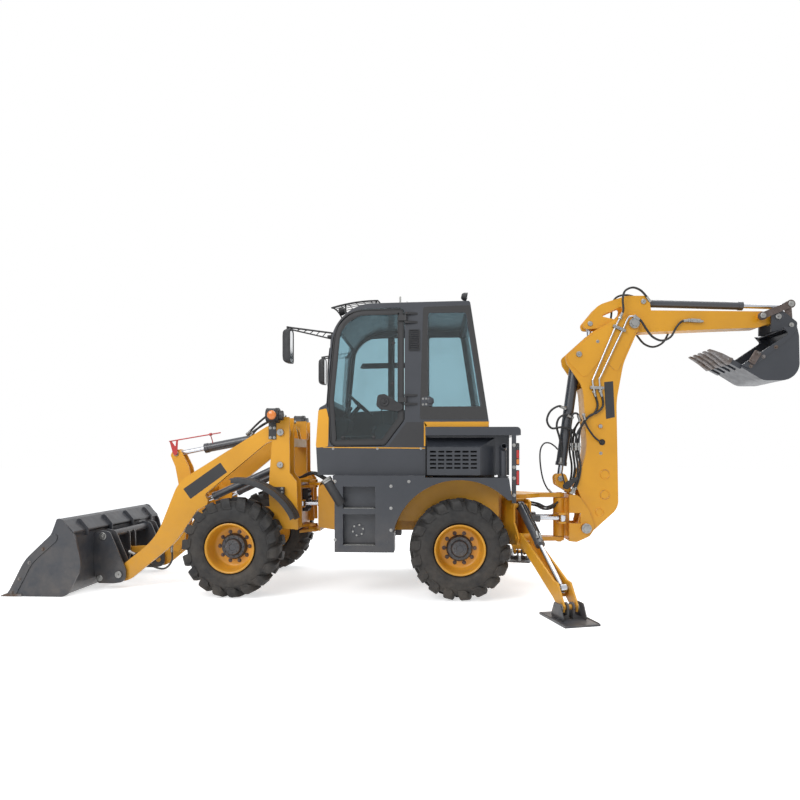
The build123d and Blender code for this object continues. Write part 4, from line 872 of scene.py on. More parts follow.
# %% Hoses of the loader
TOWER = ("front_body", "tilt_barrel", (-1.47, 0, 1.84), (-1.72, 0, 1.80))
TOWER_HOSES = {"a": ((-1.480, -0.290, 2.000), (-1.560, -0.260, 2.045), (-1.680, -0.205, 2.030),
                     (-1.800, -0.150, 1.960), (-1.900, -0.110, 1.880), (-1.985, -0.085, 1.800)),
               "b": ((-1.480, -0.220, 1.900), (-1.600, -0.190, 1.950), (-1.740, -0.150, 1.930),
                     (-1.860, -0.110, 1.860), (-1.950, -0.085, 1.770)),
               "c": ((-1.480, 0.240, 1.960), (-1.600, 0.200, 2.000), (-1.760, 0.150, 1.970),
                     (-1.900, 0.105, 1.885), (-2.030, 0.085, 1.795))}
for name, points in TOWER_HOSES.items():
    hose(f"tower_hose_{name}", points, TOWER)
TIP = ("loader_boom", "loader_bucket", (-3.10, 0, 0.40), (-3.34, 0, 0.25))
for name, side in SIDES:
    y = side * 0.468
    hose(f"hitch_hose_{name}",
         ((-2.700, y, 0.700), (-2.790, y, 0.560), (-2.870, y, 0.420), (-2.960, side * 0.440, 0.330),
          (-3.080, side * 0.420, 0.300), (-3.190, side * 0.418, 0.350), (-3.290, side * 0.430, 0.400)), TIP,
         0.011)


# %% [markdown]
# The cab's side is one pressed shell, and what gives it its face lies on it: a black band round the side
# window, the painted stripe, a vent, handles and hinges.  Flat trims are outlines a few millimetres thick
# that stand on the shell's own surface.  A frame round a pane is made as a closed ring with four rows of
# points.

# %% Cab trims
CAB_FACE = 0.730


def rounded(outline, radius, steps=6):
    """Outline with soft corners: each gives points on the quadratic curve between its two sides."""
    outline = np.array(outline, float)
    points = []
    for before, corner, after in zip(np.roll(outline, 1, 0), outline, np.roll(outline, -1, 0)):
        first, second = unit(before - corner), unit(after - corner)
        half = np.arccos(np.clip(np.dot(first, second), -1, 1)) / 2
        lengths = np.linalg.norm(before - corner), np.linalg.norm(after - corner)
        reach_in = min(radius / np.tan(half), 0.45 * lengths[0], 0.45 * lengths[1])
        t = np.linspace(0, 1, steps)[:, None]
        start, end = corner + reach_in * first, corner + reach_in * second
        points.append((1 - t) ** 2 * start + 2 * t * (1 - t) * corner + t ** 2 * end)
    return np.concatenate(points)


def offset(outline, distance):
    """Outline moved inwards by a distance: each point goes along the mean of its two sides' normals."""
    outline = np.array(outline, float)
    along = unit_rows(np.roll(outline, -1, 0) - np.roll(outline, 1, 0))
    area = 0.5 * np.sum(outline[:, 0] * np.roll(outline[:, 1], -1)
                        - np.roll(outline[:, 0], -1) * outline[:, 1])
    inward = np.stack([-along[:, 1], along[:, 0]], 1) * np.sign(area)
    return outline + distance * inward


def unit_rows(vectors):
    """Each row divided by its length."""
    return vectors / np.maximum(np.linalg.norm(vectors, axis=1), 1e-9)[:, None]


def frame_ring(outer, inner, low, high):
    """Flat ring between two outlines with as many points, in side view, with a thickness across."""
    rows = [(outer, low), (outer, high), (inner, high), (inner, low)]
    rings = np.stack([np.stack([line[:, 0], np.full(len(line), y), line[:, 1]], 1) for line, y in rows])
    return lofted(rings, rows_close=True)


def on_cab(thickness, gap=0.0):
    """Low and high distance across for a trim of that thickness on each side of the cab."""
    return [between(side, CAB_FACE + gap - 0.001, CAB_FACE + gap + thickness) for side in (-1, 1)]


WINDOW_OUTER = ((0.172, 3.172), (0.690, 3.184), (0.878, 1.935), (0.135, 1.935))
WINDOW_INNER = ((0.222, 3.103), (0.642, 3.103), (0.815, 2.075), (0.222, 2.075))
glass_bands = [frame_ring(rounded(WINDOW_OUTER, 0.030), rounded(WINDOW_INNER, 0.030), low, high)
               for low, high in on_cab(0.003)]
made("window_band", glass_bands, black_glass, "rear_body", bevel=0.001)

DOOR_LINE = ((-0.855, 1.640), (-0.888, 2.150), (-0.792, 3.152), (-0.040, 3.160), (-0.040, 1.930),
             (-0.250, 1.650))
DOOR_ARCS = (0.070, 0.300, 0.420, 0.060, 0.060, 0.060)


def door_line(inset):
    """The door's outline with its own arc at each corner, moved inwards."""
    outline = np.array(DOOR_LINE)
    points = []
    for corner, radius in enumerate(DOOR_ARCS):
        ring = rounded(outline, radius, 9)
        points.append(ring[9 * corner:9 * corner + 9])
    return offset(np.concatenate(points), inset)


#           body, outer and inner inset from the door's line, levels across
GASKETS = {"door_seal": ("door", 0.003, 0.016, on_cab(0.007, 0.001)[0]),
           "door_pane_gasket": ("door", 0.054, 0.070, (-CAB_FACE - 0.003, -CAB_FACE + 0.012)),
           "far_pane_gasket": ("rear_body", 0.036, 0.056, (CAB_FACE - 0.022, CAB_FACE + 0.003))}
for name, (body, outer, inner, levels) in GASKETS.items():
    ring = frame_ring(door_line(outer), door_line(inner), *levels)
    made(name, [ring], hose_rubber, body, bevel=0.002)

STRIPE = ((0.197, 1.852), (0.885, 1.852), (0.893, 1.908), (0.180, 1.908))
STRIPE_DOWN = ((0.180, 1.910), (0.180, 1.640), (0.196, 1.640), (0.196, 1.852), (0.215, 1.866))
THIN_LINE = ((-0.940, 1.622), (0.192, 1.612), (0.192, 1.622), (-0.940, 1.632))
CORNER_PANEL = ((-1.020, 1.650), (-0.992, 2.040), (-0.900, 2.060), (-0.876, 1.950), (-0.882, 1.636),
                (-1.012, 1.622))
stripes = [prism(line, low, high) for line in (STRIPE, STRIPE_DOWN, THIN_LINE, rounded(CORNER_PANEL, 0.020))
           for low, high in on_cab(0.002)]
made("cab_stripes", stripes, yellow, "rear_body")
DARK_PANEL = ((-0.215, 1.636), (0.178, 1.632), (0.178, 1.905), (-0.015, 1.905), (-0.030, 1.880))
made("lower_dark_panels",
             [prism(rounded(DARK_PANEL, 0.012), low, high) for low, high in on_cab(0.0022)], black,
             "rear_body")

# %% [markdown]
# The vent on the rear post is a moulded frame with nine sloping slats.  The handle and the window's
# latches are flat outlines with rounded corners, and the grab bars are bent bar that ends in round knobs.

# %% Vent, handle, grab bars and latches
SLATS = 9
VENT = rectangle((0.010, 2.690), (0.135, 2.922))
vent_parts = []
for low, high in on_cab(0.012):
    vent_parts.append(frame_ring(rounded(VENT, 0.012), rounded(offset(VENT, 0.012), 0.006), low, high))
for side in (-1, 1):
    for slat in range(SLATS):
        z = 2.712 + 0.0233 * slat
        section = ((side * 0.729, z), (side * 0.741, z - 0.004), (side * 0.742, z + 0.002),
                   (side * 0.730, z + 0.014))
        vent_parts.append(prism(section, 0.020, 0.126, "x"))
made("cab_vents", vent_parts, grained_plastic, "rear_body", bevel=0.0015)

HANDLE = ((-0.345, 2.085), (-0.300, 2.045), (-0.110, 2.020), (-0.052, 2.040), (-0.052, 2.100),
          (-0.110, 2.125), (-0.250, 2.215), (-0.330, 2.205))
handle = [prism(rounded(HANDLE, 0.035), -CAB_FACE - 0.028, -CAB_FACE + 0.004)]
lock_place = (-0.255, -CAB_FACE - 0.026, 2.130)
handle.append(turned([(0.0, 0.052), (0.012, 0.052), (0.016, 0.046), (0.010, 0.038), (0.010, 0.026),
                      (0.018, 0.022), (0.020, 0.012)], lock_place, (0, -1, 0), 40))
key_slot = rectangle((-0.262, 2.108), (-0.248, 2.152))
handle.append(prism(key_slot, -CAB_FACE - 0.052, -CAB_FACE - 0.036))
made("door_handle", handle, grained_plastic, "door", bevel=0.004)

bars = [tube(smooth_path(((-0.720, -0.690, 1.735), (-0.700, -0.665, 1.745), (-0.560, -0.655, 1.750),
                          (-0.395, -0.665, 1.745), (-0.375, -0.690, 1.735)), 6), 0.011, 12),
        tube(smooth_path(((-0.165, -0.690, 2.330), (-0.165, -0.655, 2.350), (-0.160, -0.650, 2.560),
                          (-0.158, -0.655, 2.760), (-0.158, -0.690, 2.780)), 6), 0.011, 12)]
knobs = [turned([(0.0, 0.020), (0.010, 0.020), (0.014, 0.014)], (x, -0.7095, z), (0, -1, 0), 20)
         for x, z in ((-0.720, 1.735), (-0.375, 1.735), (-0.165, 2.330), (-0.158, 2.780))]
made("door_grab_bars", bars + knobs, grained_plastic, "door", crease=50)

LATCH = ((0.150, 2.078), (0.262, 2.080), (0.292, 2.120), (0.285, 2.165), (0.240, 2.188), (0.150, 2.178))
latches, latch_bolts = [], []
for side in (-1, 1):
    low, high = between(side, CAB_FACE - 0.001, CAB_FACE + 0.006)
    latches.append(prism(rounded(LATCH, 0.030), low, high))
    latches.append(turned([(0.0, 0.036), (0.018, 0.034), (0.022, 0.028), (0.024, 0.010)],
                          (0.245, side * (CAB_FACE + 0.004), 2.140), (0, side, 0), 32))
    latch_bolts += hexagon_bolts(flat_points(((0.170, 2.098), (0.170, 2.160), (0.205, 2.100),
                                              (0.205, 2.160)), side * (CAB_FACE + 0.005)), (0, side, 0),
                                 0.012)
made("window_latches", latches, charcoal, "rear_body", bevel=0.002)
made("window_latch_bolts", latch_bolts, zinc, "rear_body", crease=30)

# %% [markdown]
# The wiper parks along the front post, and the roof carries a short aerial and two work lamps at each
# end.  A lamp is a turned shell with a clear lens that bulges a little.

# %% Roof lamps, aerial and wiper
def lamp_parts(place, direction, radius, depth):
    """Round lamp: a domed shell that ends in a rim, and a lens that bulges inside the rim."""
    shell = turned([(-depth, 0.35 * radius), (-0.92 * depth, 0.62 * radius), (-0.60 * depth, 0.90 * radius),
                    (-0.15 * depth, radius), (0.0, 1.06 * radius), (0.006, 1.06 * radius),
                    (0.006, 0.94 * radius), (-0.006, 0.92 * radius)], place, direction, 36)
    lens = turned([(-0.008, 0.925 * radius), (0.002, 0.92 * radius), (0.008, 0.70 * radius),
                   (0.011, 0.40 * radius), (0.012, 0.08 * radius)], place, direction, 36)
    return shell, lens


LAMP_RADIUS, LAMP_DEPTH = 0.048, 0.060
#              place on the right side, direction
ROOF_LAMPS = (((0.655, 0.560, 3.315), (1, 0, -0.20)), ((-0.800, 0.400, 3.205), (-1, 0, -0.15)))
shells, lenses = [], []
for side in (-1, 1):
    for (x, y, z), direction in ROOF_LAMPS:
        shell, lens = lamp_parts((x, side * y, z), direction, LAMP_RADIUS, LAMP_DEPTH)
        shells.append(shell)
        lenses.append(lens)
made("roof_lamp_shells", shells, grained_plastic, "rear_body", crease=40)
made("roof_lamp_lenses", lenses, clear_lens, "rear_body", crease=40)

aerial = [turned([(0.0, 0.016), (0.010, 0.016), (0.016, 0.008), (0.030, 0.0035), (0.150, 0.0025)],
                 (-0.030, -0.180, 3.222), (0, 0, 1), 16)]
made("aerial", aerial, grained_plastic, "rear_body", crease=40)

wipers = [tube(smooth_path(((-0.905, -0.420, 2.235), (-0.928, -0.470, 2.330), (-0.915, -0.540, 2.560),
                            (-0.890, -0.560, 2.760)), 8), 0.008, 8),
          tube(((-0.905, -0.545, 2.360), (-0.878, -0.560, 2.870)), 0.006, 6),
          turned([(0.0, 0.024), (0.020, 0.022), (0.026, 0.012)], (-0.893, -0.420, 2.225), (-1, 0, 0.1), 24)]
made("front_wiper", wipers, grained_plastic, "rear_body", crease=50)

# %% [markdown]
# A mirror's pane is flat silvered glass, and a narrow plastic rim stands round it.

# %% Mirror panes
MIRROR_OUT, MIRROR_HEIGHT = 1.020, 2.700
mirror_panes, mirror_rims = [], []
for side in (-1, 1):
    middle = np.array((-1.230, side * MIRROR_OUT, MIRROR_HEIGHT))
    pane = rounded(rectangle((-0.082, -0.170), (0.082, 0.170)), 0.040, 8)
    mirror_panes.append(prism(pane + middle[[1, 2]], middle[0] + 0.0005, middle[0] + 0.004, "x"))
    border = rounded(rectangle((-0.089, -0.179), (0.089, 0.179)), 0.044, 8)
    rings = [(border, -0.002), (border, 0.010), (pane, 0.010), (pane, -0.002)]
    mirror_rims.append(lofted(np.stack([np.stack([np.full(len(line), middle[0] + x), line[:, 0] + middle[1],
                                                  line[:, 1] + middle[2]], 1) for line, x in rings]), True))
made("mirror_panes", mirror_panes, mirror_silver, "rear_body")
made("mirror_rims", mirror_rims, grained_plastic, "rear_body", bevel=0.002)


# %% [markdown]
# The cab's small fittings are one node of the frame, with plain blocks for the lamps, mirrors and
# console.  They are all made again here with their real forms, in the same places: the stone guard is a
# net of bars that bows over the roof's front edge, highest in the middle of its rear edge and lower
# towards the sides and the front.

# %% Stone guard, beacon pole and hinge pins
GUARD_X, GUARD_HALF = (-0.870, -0.350), 0.560
GUARD_TOP, GUARD_SIDE_DROP, GUARD_FRONT_DROP = 3.352, 0.062, 0.075
GUARD_BAR_R, GUARD_EDGE_R = 0.0045, 0.009


def guard_point(along, across):
    """Place on the guard for two shares from 0 to 1: a dome whose height drops with the square of the
    distance from the middle plane and from the rear edge."""
    x = GUARD_X[0] + (GUARD_X[1] - GUARD_X[0]) * along
    y = GUARD_HALF * (2 * across - 1)
    z = GUARD_TOP - GUARD_SIDE_DROP * (2 * across - 1) ** 2 - GUARD_FRONT_DROP * (1 - along) ** 2
    return np.stack(np.broadcast_arrays(x, y, z), -1)


line = np.linspace(0, 1, 15)
bars = []
for count, point in ((10, guard_point), (7, lambda share, along: guard_point(along, share))):
    for share in np.linspace(0, 1, count):
        bars.append(tube(point(line, share), GUARD_BAR_R if 0 < share < 1 else GUARD_EDGE_R, 8))
for share in (0.02, 0.98):
    for along in (0.30, 0.97):
        top = guard_point(along, share)
        foot = reach("cab_shell", top, (0, 0, -1))
        bars.append(tube((foot - np.array((0, 0, 0.004)), top), GUARD_EDGE_R, 10))
        bars.append(turned([(0.0, 0.024), (0.005, 0.024), (0.007, 0.018)], foot, (0, 0, 1), 20))
guard = made("stone_guard", bars, grained_plastic, "rear_body", crease=50)
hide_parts("cab_fittings")

POLE = (-0.090, -0.560)
roof_under_pole = reach("cab_shell", (*POLE, 3.6), (0, 0, -1))[2]
upper = zip(np.array((3.226, 3.232, 3.329, 3.332)) - roof_under_pole, (0.026, 0.012, 0.012, 0.009))
pole = [turned([(0.0, 0.034), (0.006, 0.034), (0.010, 0.026), *upper], (*POLE, roof_under_pole),
               (0, 0, 1), 24)]
made("beacon_pole", pole, zinc, "rear_body", crease=30)

hinge_parts = []
for z in (2.150, 3.050):
    hinge_parts.append(turned([(-0.060, 0.006), (-0.058, 0.008), (0.058, 0.008), (0.060, 0.006)],
                              (-0.022, -0.750, z), (0, 0, 1), 20))
    for low in (z - 0.060, z + 0.035):
        knuckle = rounded(((-0.036, -0.7640), (-0.008, -0.7640), (0.024, -0.7560), (0.110, -0.7320),
                           (0.110, -0.7290), (-0.036, -0.7290)), 0.012)
        hinge_parts.append(prism(knuckle, low, low + 0.025, "z"))
made("hinge_brackets", hinge_parts, grained_plastic, "rear_body", bevel=0.002)

# %% [markdown]
# A mirror head is a shell that swells from a narrow back to a full border, so it is a loft through rounded
# outlines that grow along the machine.  Its arm is a flat truss of two rods with struts between them.

# %% Mirrors
HEAD_ROWS = ((-1.312, 0.50), (-1.306, 0.72), (-1.292, 0.88), (-1.270, 0.97), (-1.245, 1.00), (-1.231, 1.00),
             (-1.229, 0.96))
heads, arms = [], []
for side in (-1, 1):
    border = rounded(rectangle((-0.092, -0.180), (0.092, 0.180)), 0.055, 8)
    heads.append(lofted(np.stack([np.stack([np.full(len(border), x),
                                            side * MIRROR_OUT + share * border[:, 0],
                                            MIRROR_HEIGHT + (0.5 + 0.5 * share) * border[:, 1]], 1)
                                  for x, share in HEAD_ROWS])))
    foot, tip = np.array((-0.843, side * 0.675, 2.905)), np.array((-1.268, side * MIRROR_OUT, 2.905))
    drop = np.array((0, 0, 0.042))
    upper, lower = (foot, tip), (foot - 1.6 * drop, tip - 0.4 * drop)
    arms.append(tube(upper, 0.010, 10))
    arms.append(tube(lower, 0.008, 10))
    for share in np.linspace(0.0, 1.0, 8)[:-1]:
        arms.append(tube((upper[0] + share * (upper[1] - upper[0]),
                          lower[0] + (share + 0.09) * (lower[1] - lower[0])), 0.005, 8))
    arms.append(tube((tip + drop * 0.2, tip - 1.6 * drop), 0.012, 12))
    arms.append(turned([(0.0, 0.030), (0.012, 0.028), (0.020, 0.020), (0.060, 0.012)], foot - drop,
                       tip - foot, 20))
made("mirror_heads", heads, grained_plastic, "rear_body", crease=60)
made("mirror_arms", arms, black, "rear_body", crease=50)

# %% [markdown]
# Behind the windscreen stand the console and the steering column.  The wheel is a ring, a circle carried
# round a circle, with three spokes that sink towards its hub, and small levers stand beside it.

# %% Console and steering wheel
WHEEL_MIDDLE, WHEEL_AXIS = np.array((-0.610, 0.0, 2.150)), unit((0.160, 0, 0.180))
console_rows = ((1.366, 1.00, 0.00), (1.500, 0.96, 0.00), (1.760, 0.84, 0.00), (1.900, 0.92, 0.02),
                (1.955, 0.90, 0.03), (1.978, 0.78, 0.03))
base = rounded(rectangle((-0.940, -0.260), (-0.740, 0.260)), 0.060, 8)
middle = np.array((-0.840, 0.0))
console = [lofted(np.stack([np.stack([*(middle + share * (base - middle)).T, np.full(len(base), z)], 1)
                            + (shift, 0, 0) for z, share, shift in console_rows]))]
column_foot = np.array((-0.780, 0, 1.950))
column = tube(column_foot + np.linspace(0, 1, 6)[:, None] * (WHEEL_MIDDLE - column_foot),
              (0.050, 0.042, 0.030, 0.026, 0.026, 0.030), 20)
GRIP_RADIUS, GRIP_HALF = 0.186, (0.013, 0.015)      # of the wheel; half width and half thickness of its grip
wheel_circle = circle_about(WHEEL_AXIS, 64)
rim_angle = np.linspace(0, 2 * np.pi, 12, endpoint=False)
grip = (WHEEL_MIDDLE
        + (GRIP_RADIUS + GRIP_HALF[0] * np.cos(rim_angle))[None, :, None] * wheel_circle[:, None]
        + GRIP_HALF[1] * np.sin(rim_angle)[None, :, None] * WHEEL_AXIS)
steering = [lofted(grip, rows_close=True),
            turned([(-0.030, 0.034), (-0.010, 0.044), (0.004, 0.044), (0.010, 0.034), (0.011, 0.010)],
                   WHEEL_MIDDLE, WHEEL_AXIS, 32)]
for spoke in circle_about(WHEEL_AXIS, 3, np.pi / 2):
    steering.append(tube(WHEEL_MIDDLE + np.array((0.034, 0.090, 0.150, 0.184))[:, None] * spoke
                         - np.array((0.012, 0.016, 0.010, 0.000))[:, None] * WHEEL_AXIS,
                         (0.014, 0.011, 0.009, 0.008), 10))
#          foot, tip, size of the knob
LEVERS = (((-0.800, -0.200, 1.930), (-0.735, -0.235, 2.150), 0.018),
          ((-0.800, 0.200, 1.930), (-0.760, 0.235, 2.110), 0.018),
          ((-0.300, -0.330, 1.900), (-0.330, -0.335, 2.120), 0.024),
          ((-0.180, -0.330, 1.900), (-0.190, -0.335, 2.130), 0.024),
          ((0.300, 0.300, 1.860), (0.250, 0.290, 2.140), 0.024))
levers = []
for foot, tip, knob in LEVERS:
    foot, tip = np.array(foot), np.array(tip)
    levers.append(tube(foot + np.linspace(0, 1, 4)[:, None] * (tip - foot), (0.009, 0.007, 0.006, 0.006), 8))
    levers.append(turned([(-0.5 * knob, 0.4 * knob), (0.0, 0.8 * knob), (0.8 * knob, knob),
                          (1.6 * knob, 0.9 * knob), (2.1 * knob, 0.5 * knob)], tip, tip - foot, 20))
made("console", console, grained_plastic, "rear_body", bevel=0.004, crease=50)
made("steering_wheel", [column] + steering, grained_plastic, "rear_body", crease=50)
made("levers", levers, grained_plastic, "rear_body", crease=50)

# %% [markdown]
# Inside, the far side is lined up to the window's sill, so the lower half of the door looks dark from the
# near side.  A wing box stands on each side of the seat, and a third box fills the space behind it.

# %% Inner lining
LINING = ((-0.905, 1.372), (-0.920, 1.900), (-0.860, 2.110), (0.140, 2.150), (0.140, 1.900), (0.140, 1.372))
CENTRE_STRIP = rectangle((-0.320, 2.130), (-0.235, 3.100))
UPPER_STRIP = ((-0.700, 2.690), (0.120, 2.700), (0.120, 2.770), (-0.660, 2.760))
lining = [prism(rounded(LINING, 0.050), 0.652, 0.683), prism(rounded(CENTRE_STRIP, 0.010), 0.655, 0.683),
          prism(rounded(UPPER_STRIP, 0.020), 0.655, 0.683)]
#         outline, low and high distance across
WINGS = ((((-0.460, 1.366), (0.120, 1.366), (0.150, 1.880), (-0.380, 1.905)), -0.400, -0.285),
         (((-0.380, 1.366), (0.120, 1.366), (0.150, 1.880), (-0.300, 1.905)), 0.285, 0.400),
         (((0.200, 1.900), (0.830, 1.900), (0.740, 2.080), (0.260, 2.060)), -0.640, 0.640))
wing = [prism(rounded(outline, 0.040), low, high) for outline, low, high in WINGS]
made("inner_lining", lining, grained_plastic, "rear_body", bevel=0.004)
made("wing_boxes", wing, grained_plastic, "rear_body", bevel=0.010)


# %% [markdown]
# The seat is vinyl over foam.  A cushion is never a block: air and foam push its faces out, and its edges
# pull in.  Each half starts as a rounded shape a little too small, gets an even mesh, and is blown up as
# cloth for twenty frames with no gravity, and no point may move further than a set distance.

# %% Seat cushions
def superellipse(count, power):
    """Closed curve in a unit square: cosine and sine, signs kept, raised to 2 divided by the power."""
    turn = np.linspace(0, 2 * np.pi, count, endpoint=False)
    return np.stack([np.sign(np.cos(turn)) * np.abs(np.cos(turn)) ** (2 / power),
                     np.sign(np.sin(turn)) * np.abs(np.sin(turn)) ** (2 / power)], 1)


def pillow_rings(half_wide, half_long, thick):
    """Rings of a superellipse that shrinks towards both faces, as a cushion's does."""
    shares = ((-0.50, 0.55), (-0.46, 0.82), (-0.34, 0.95), (-0.12, 1.0), (0.12, 1.0), (0.34, 0.96),
              (0.46, 0.84), (0.50, 0.58))
    curve = superellipse(64, 5.0) * (half_long, half_wide)
    return np.stack([np.stack([*(share * curve).T, np.full(64, height * thick)], 1)
                     for height, share in shares])


def mesh_points(mesh):
    """All points of a mesh as one array."""
    points = np.empty(len(mesh.vertices) * 3)
    mesh.vertices.foreach_get("co", points)
    return points.reshape(-1, 3)


CLOTH_FRAMES, CLOTH_PRESSURE = 20, 4.0


def stuffed(name, rings, turn, place, cap, voxel=0.010):
    """Even mesh from the rings, turned about Y and placed, then blown up as cloth up to the cap."""
    tilt = np.array(((np.cos(turn), 0, np.sin(turn)), (0, 1, 0), (-np.sin(turn), 0, np.cos(turn))))
    pad = made(name, [lofted(rings @ tilt.T + place)], seat_vinyl, None, crease=180)
    even = pad.modifiers.new("even_mesh", "REMESH")
    even.mode, even.voxel_size = "VOXEL", voxel
    mesh = bpy.data.meshes.new_from_object(pad.evaluated_get(bpy.context.evaluated_depsgraph_get()))
    pad.modifiers.clear()
    pad.data = mesh
    start = mesh_points(mesh)
    cloth = pad.modifiers.new("stuffing", "CLOTH")
    cloth.settings.use_pressure, cloth.settings.uniform_pressure_force = True, CLOTH_PRESSURE
    cloth.settings.effector_weights.gravity = 0.0
    for frame_number in range(1, CLOTH_FRAMES + 1):
        bpy.context.scene.frame_set(frame_number)
    blown = mesh_points(pad.evaluated_get(bpy.context.evaluated_depsgraph_get()).data)
    bpy.context.scene.frame_set(1)
    pad.modifiers.clear()
    move = blown - start
    far = np.linalg.norm(move, axis=1)[:, None]
    mesh.vertices.foreach_set("co", (start + move * np.minimum(1, cap / np.maximum(far, 1e-9))).ravel())
    print(f"{name}: moved {1000 * np.minimum(far, cap).mean():.1f} mm on average")
    mesh.polygons.foreach_set("use_smooth", np.ones(len(mesh.polygons), bool))
    mesh.materials.clear()
    mesh.materials.append(seat_vinyl)
    soft = pad.modifiers.new("even_curves", "SUBSURF")
    soft.levels = soft.render_levels = 1
    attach(pad, "rear_body")
    return pad


BACK_TILT = radians(90 - 16)
cushion = stuffed("seat_cushion", pillow_rings(0.235, 0.245, 0.120), 0.0, (-0.220, 0, 1.822), 0.012)
stuffed("seat_back", pillow_rings(0.215, 0.330, 0.105), -BACK_TILT, (0.095, 0, 2.190), 0.012)
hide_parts("seat")
#            height, share of the full size
BASE_ROWS = ((1.366, 0.95), (1.380, 1.0), (1.420, 1.0), (1.430, 0.80), (1.470, 0.86), (1.510, 0.78),
             (1.550, 0.86), (1.590, 0.78), (1.630, 0.86), (1.670, 0.80), (1.690, 1.06), (1.745, 1.10),
             (1.752, 1.05))
foot = superellipse(48, 6)
seat_base = [lofted(np.stack([np.stack([-0.220 + share * 0.22 * foot[:, 0], share * 0.20 * foot[:, 1],
                                        np.full(48, z)], 1) for z, share in BASE_ROWS]))]
made("seat_base", seat_base, grained_plastic, "rear_body", crease=50)


# %% [markdown]
# The step box is folded sheet with two treads.  A tread is a plate whose front edge is cut into teeth, so
# that a muddy boot doesn't slip.  Between the treads sits a round inspection cover, and bolts hold the
# box.  The fillers lean out of its top, and a painted sheet closes the rear wheel's arch from inside.

# %% Steps, covers, fillers and box bolts
def serrated(start, end, out, depth, pitch=0.024):
    """Outline in plan: a straight back edge and a front edge that goes out and in by a fixed tooth."""
    along = np.arange(start, end, pitch / 2)
    front = out + 0.008 * (np.arange(len(along)) % 2)
    return np.concatenate([np.stack([along, front], 1), [(along[-1], out - depth), (start, out - depth)]])


STEP_X, STEP_LEVELS = (-0.697, -0.349), (0.562, 0.962)
COVER_X, COVER_Z = -0.546, 0.714
CORNER = rectangle((-0.218, 0.485), (-0.142, 0.704))
ARCH_WALL = rectangle((-0.130, 0.800), (1.012, 1.262))
#                node, bolt size, places in side view
BOLT_PLACES = (("side_boxes", 0.018, ((-0.174, 1.204), (-0.174, 0.966), (-0.174, 0.728), (-0.785, 1.255),
                                      (-0.785, 0.620), (0.020, 1.255))),
               ("hood", 0.020, ((1.156, 1.648), (1.156, 1.410), (1.156, 1.291), (1.156, 1.107))),
               ("cab_shell", 0.014, ((-0.827, 1.612), (-0.334, 1.612), (0.148, 1.612))))
treads, covers, screws, necks, caps, walls, inner = [], [], [], [], [], [], []
for side in (-1, 1):
    for level in STEP_LEVELS:
        edge = serrated(*STEP_X, 0.846, 0.090) * (1, side)
        treads.append(prism(edge, level, level + 0.006, "z"))
        lip = [(STEP_X[0], side * 0.842), (STEP_X[1], side * 0.842), (STEP_X[1], side * 0.848),
               (STEP_X[0], side * 0.848)]
        treads.append(prism(lip, level - 0.030, level + 0.002, "z"))
    wall = outer_y("side_boxes", COVER_X, COVER_Z, side)
    covers.append(turned([(-0.002, 0.072), (0.004, 0.072), (0.007, 0.068), (0.008, 0.050), (0.004, 0.046),
                          (0.004, 0.010)], (COVER_X, wall, COVER_Z), (0, side, 0), 40))
    screws += hexagon_bolts(polar_places(np.array((COVER_X, 0, COVER_Z)), wall + side * 0.007, 0.059, 6,
                                         0.26), (0, side, 0), 0.011)
    for node, size, places in BOLT_PLACES:
        screws += wall_bolts(node, places, side, size)
    low, high = np.array((-0.712, side * 0.842, 1.000)), np.array((-0.890, side * 0.842, 1.285))
    long = np.linalg.norm(high - low)
    necks.append(turned([(0.0, 0.030), (0.004, 0.050), (0.020, 0.054), (long - 0.050, 0.054),
                         (long - 0.046, 0.051)], low, high - low, 32))
    caps.append(turned([(long - 0.047, 0.049), (long - 0.046, 0.060), (long - 0.030, 0.062),
                        (long - 0.026, 0.058), (long - 0.022, 0.062), (long - 0.006, 0.061), (long, 0.050),
                        (long + 0.002, 0.020)], low, high - low, 32))
    walls.append(prism(CORNER, *between(side, 0.600, 0.8595)))
    inner.append(prism(rounded(ARCH_WALL, 0.020), *between(side, 0.561, 0.567)))
made("filler_necks", necks, grained_plastic, "rear_body", crease=40)
made("filler_caps", caps, zinc, "rear_body", crease=30)
made("box_corners", walls, charcoal, "rear_body", bevel=0.003)
made("arch_walls", inner, yellow, "rear_body", bevel=0.001)
made("step_treads", treads, zinc, "rear_body", bevel=0.001)
made("tank_covers", covers, charcoal, "rear_body", crease=30)
made("box_bolts", screws, zinc, "rear_body", crease=30)

# %% [markdown]
# Behind the hood's slots stands the radiator: a core of thin fins between flat tubes, which is a sheet
# whose depth is a fine square wave across, cut by flat bands on the way down.

# %% Radiator core
across, down = np.meshgrid(np.linspace(0.250, 0.915, 220), np.linspace(1.345, 1.690, 30), indexing="ij")
waves = np.sign(np.sin(across * 2 * np.pi / 0.010))
bands = np.sin(down * 2 * np.pi / 0.035) > -0.6
for name, side in SIDES:
    grid = np.stack([across, side * (0.648 + 0.004 * waves * bands), down], -1)
    back = grid.copy()
    back[..., 1] = side * 0.600
    shell = np.concatenate([grid, back[:, ::-1]], 1)
    core = made(f"radiator_core_{name}", [lofted(shell)], engine_iron, "rear_body", crease=30)

# %% [markdown]
# Lamps: two round ones look forwards from their brackets, each a ribbed rim round a clear lens, with an
# amber marker on its outer side.  Amber, red and clear lenses stand in cases on the hood's rear corners.

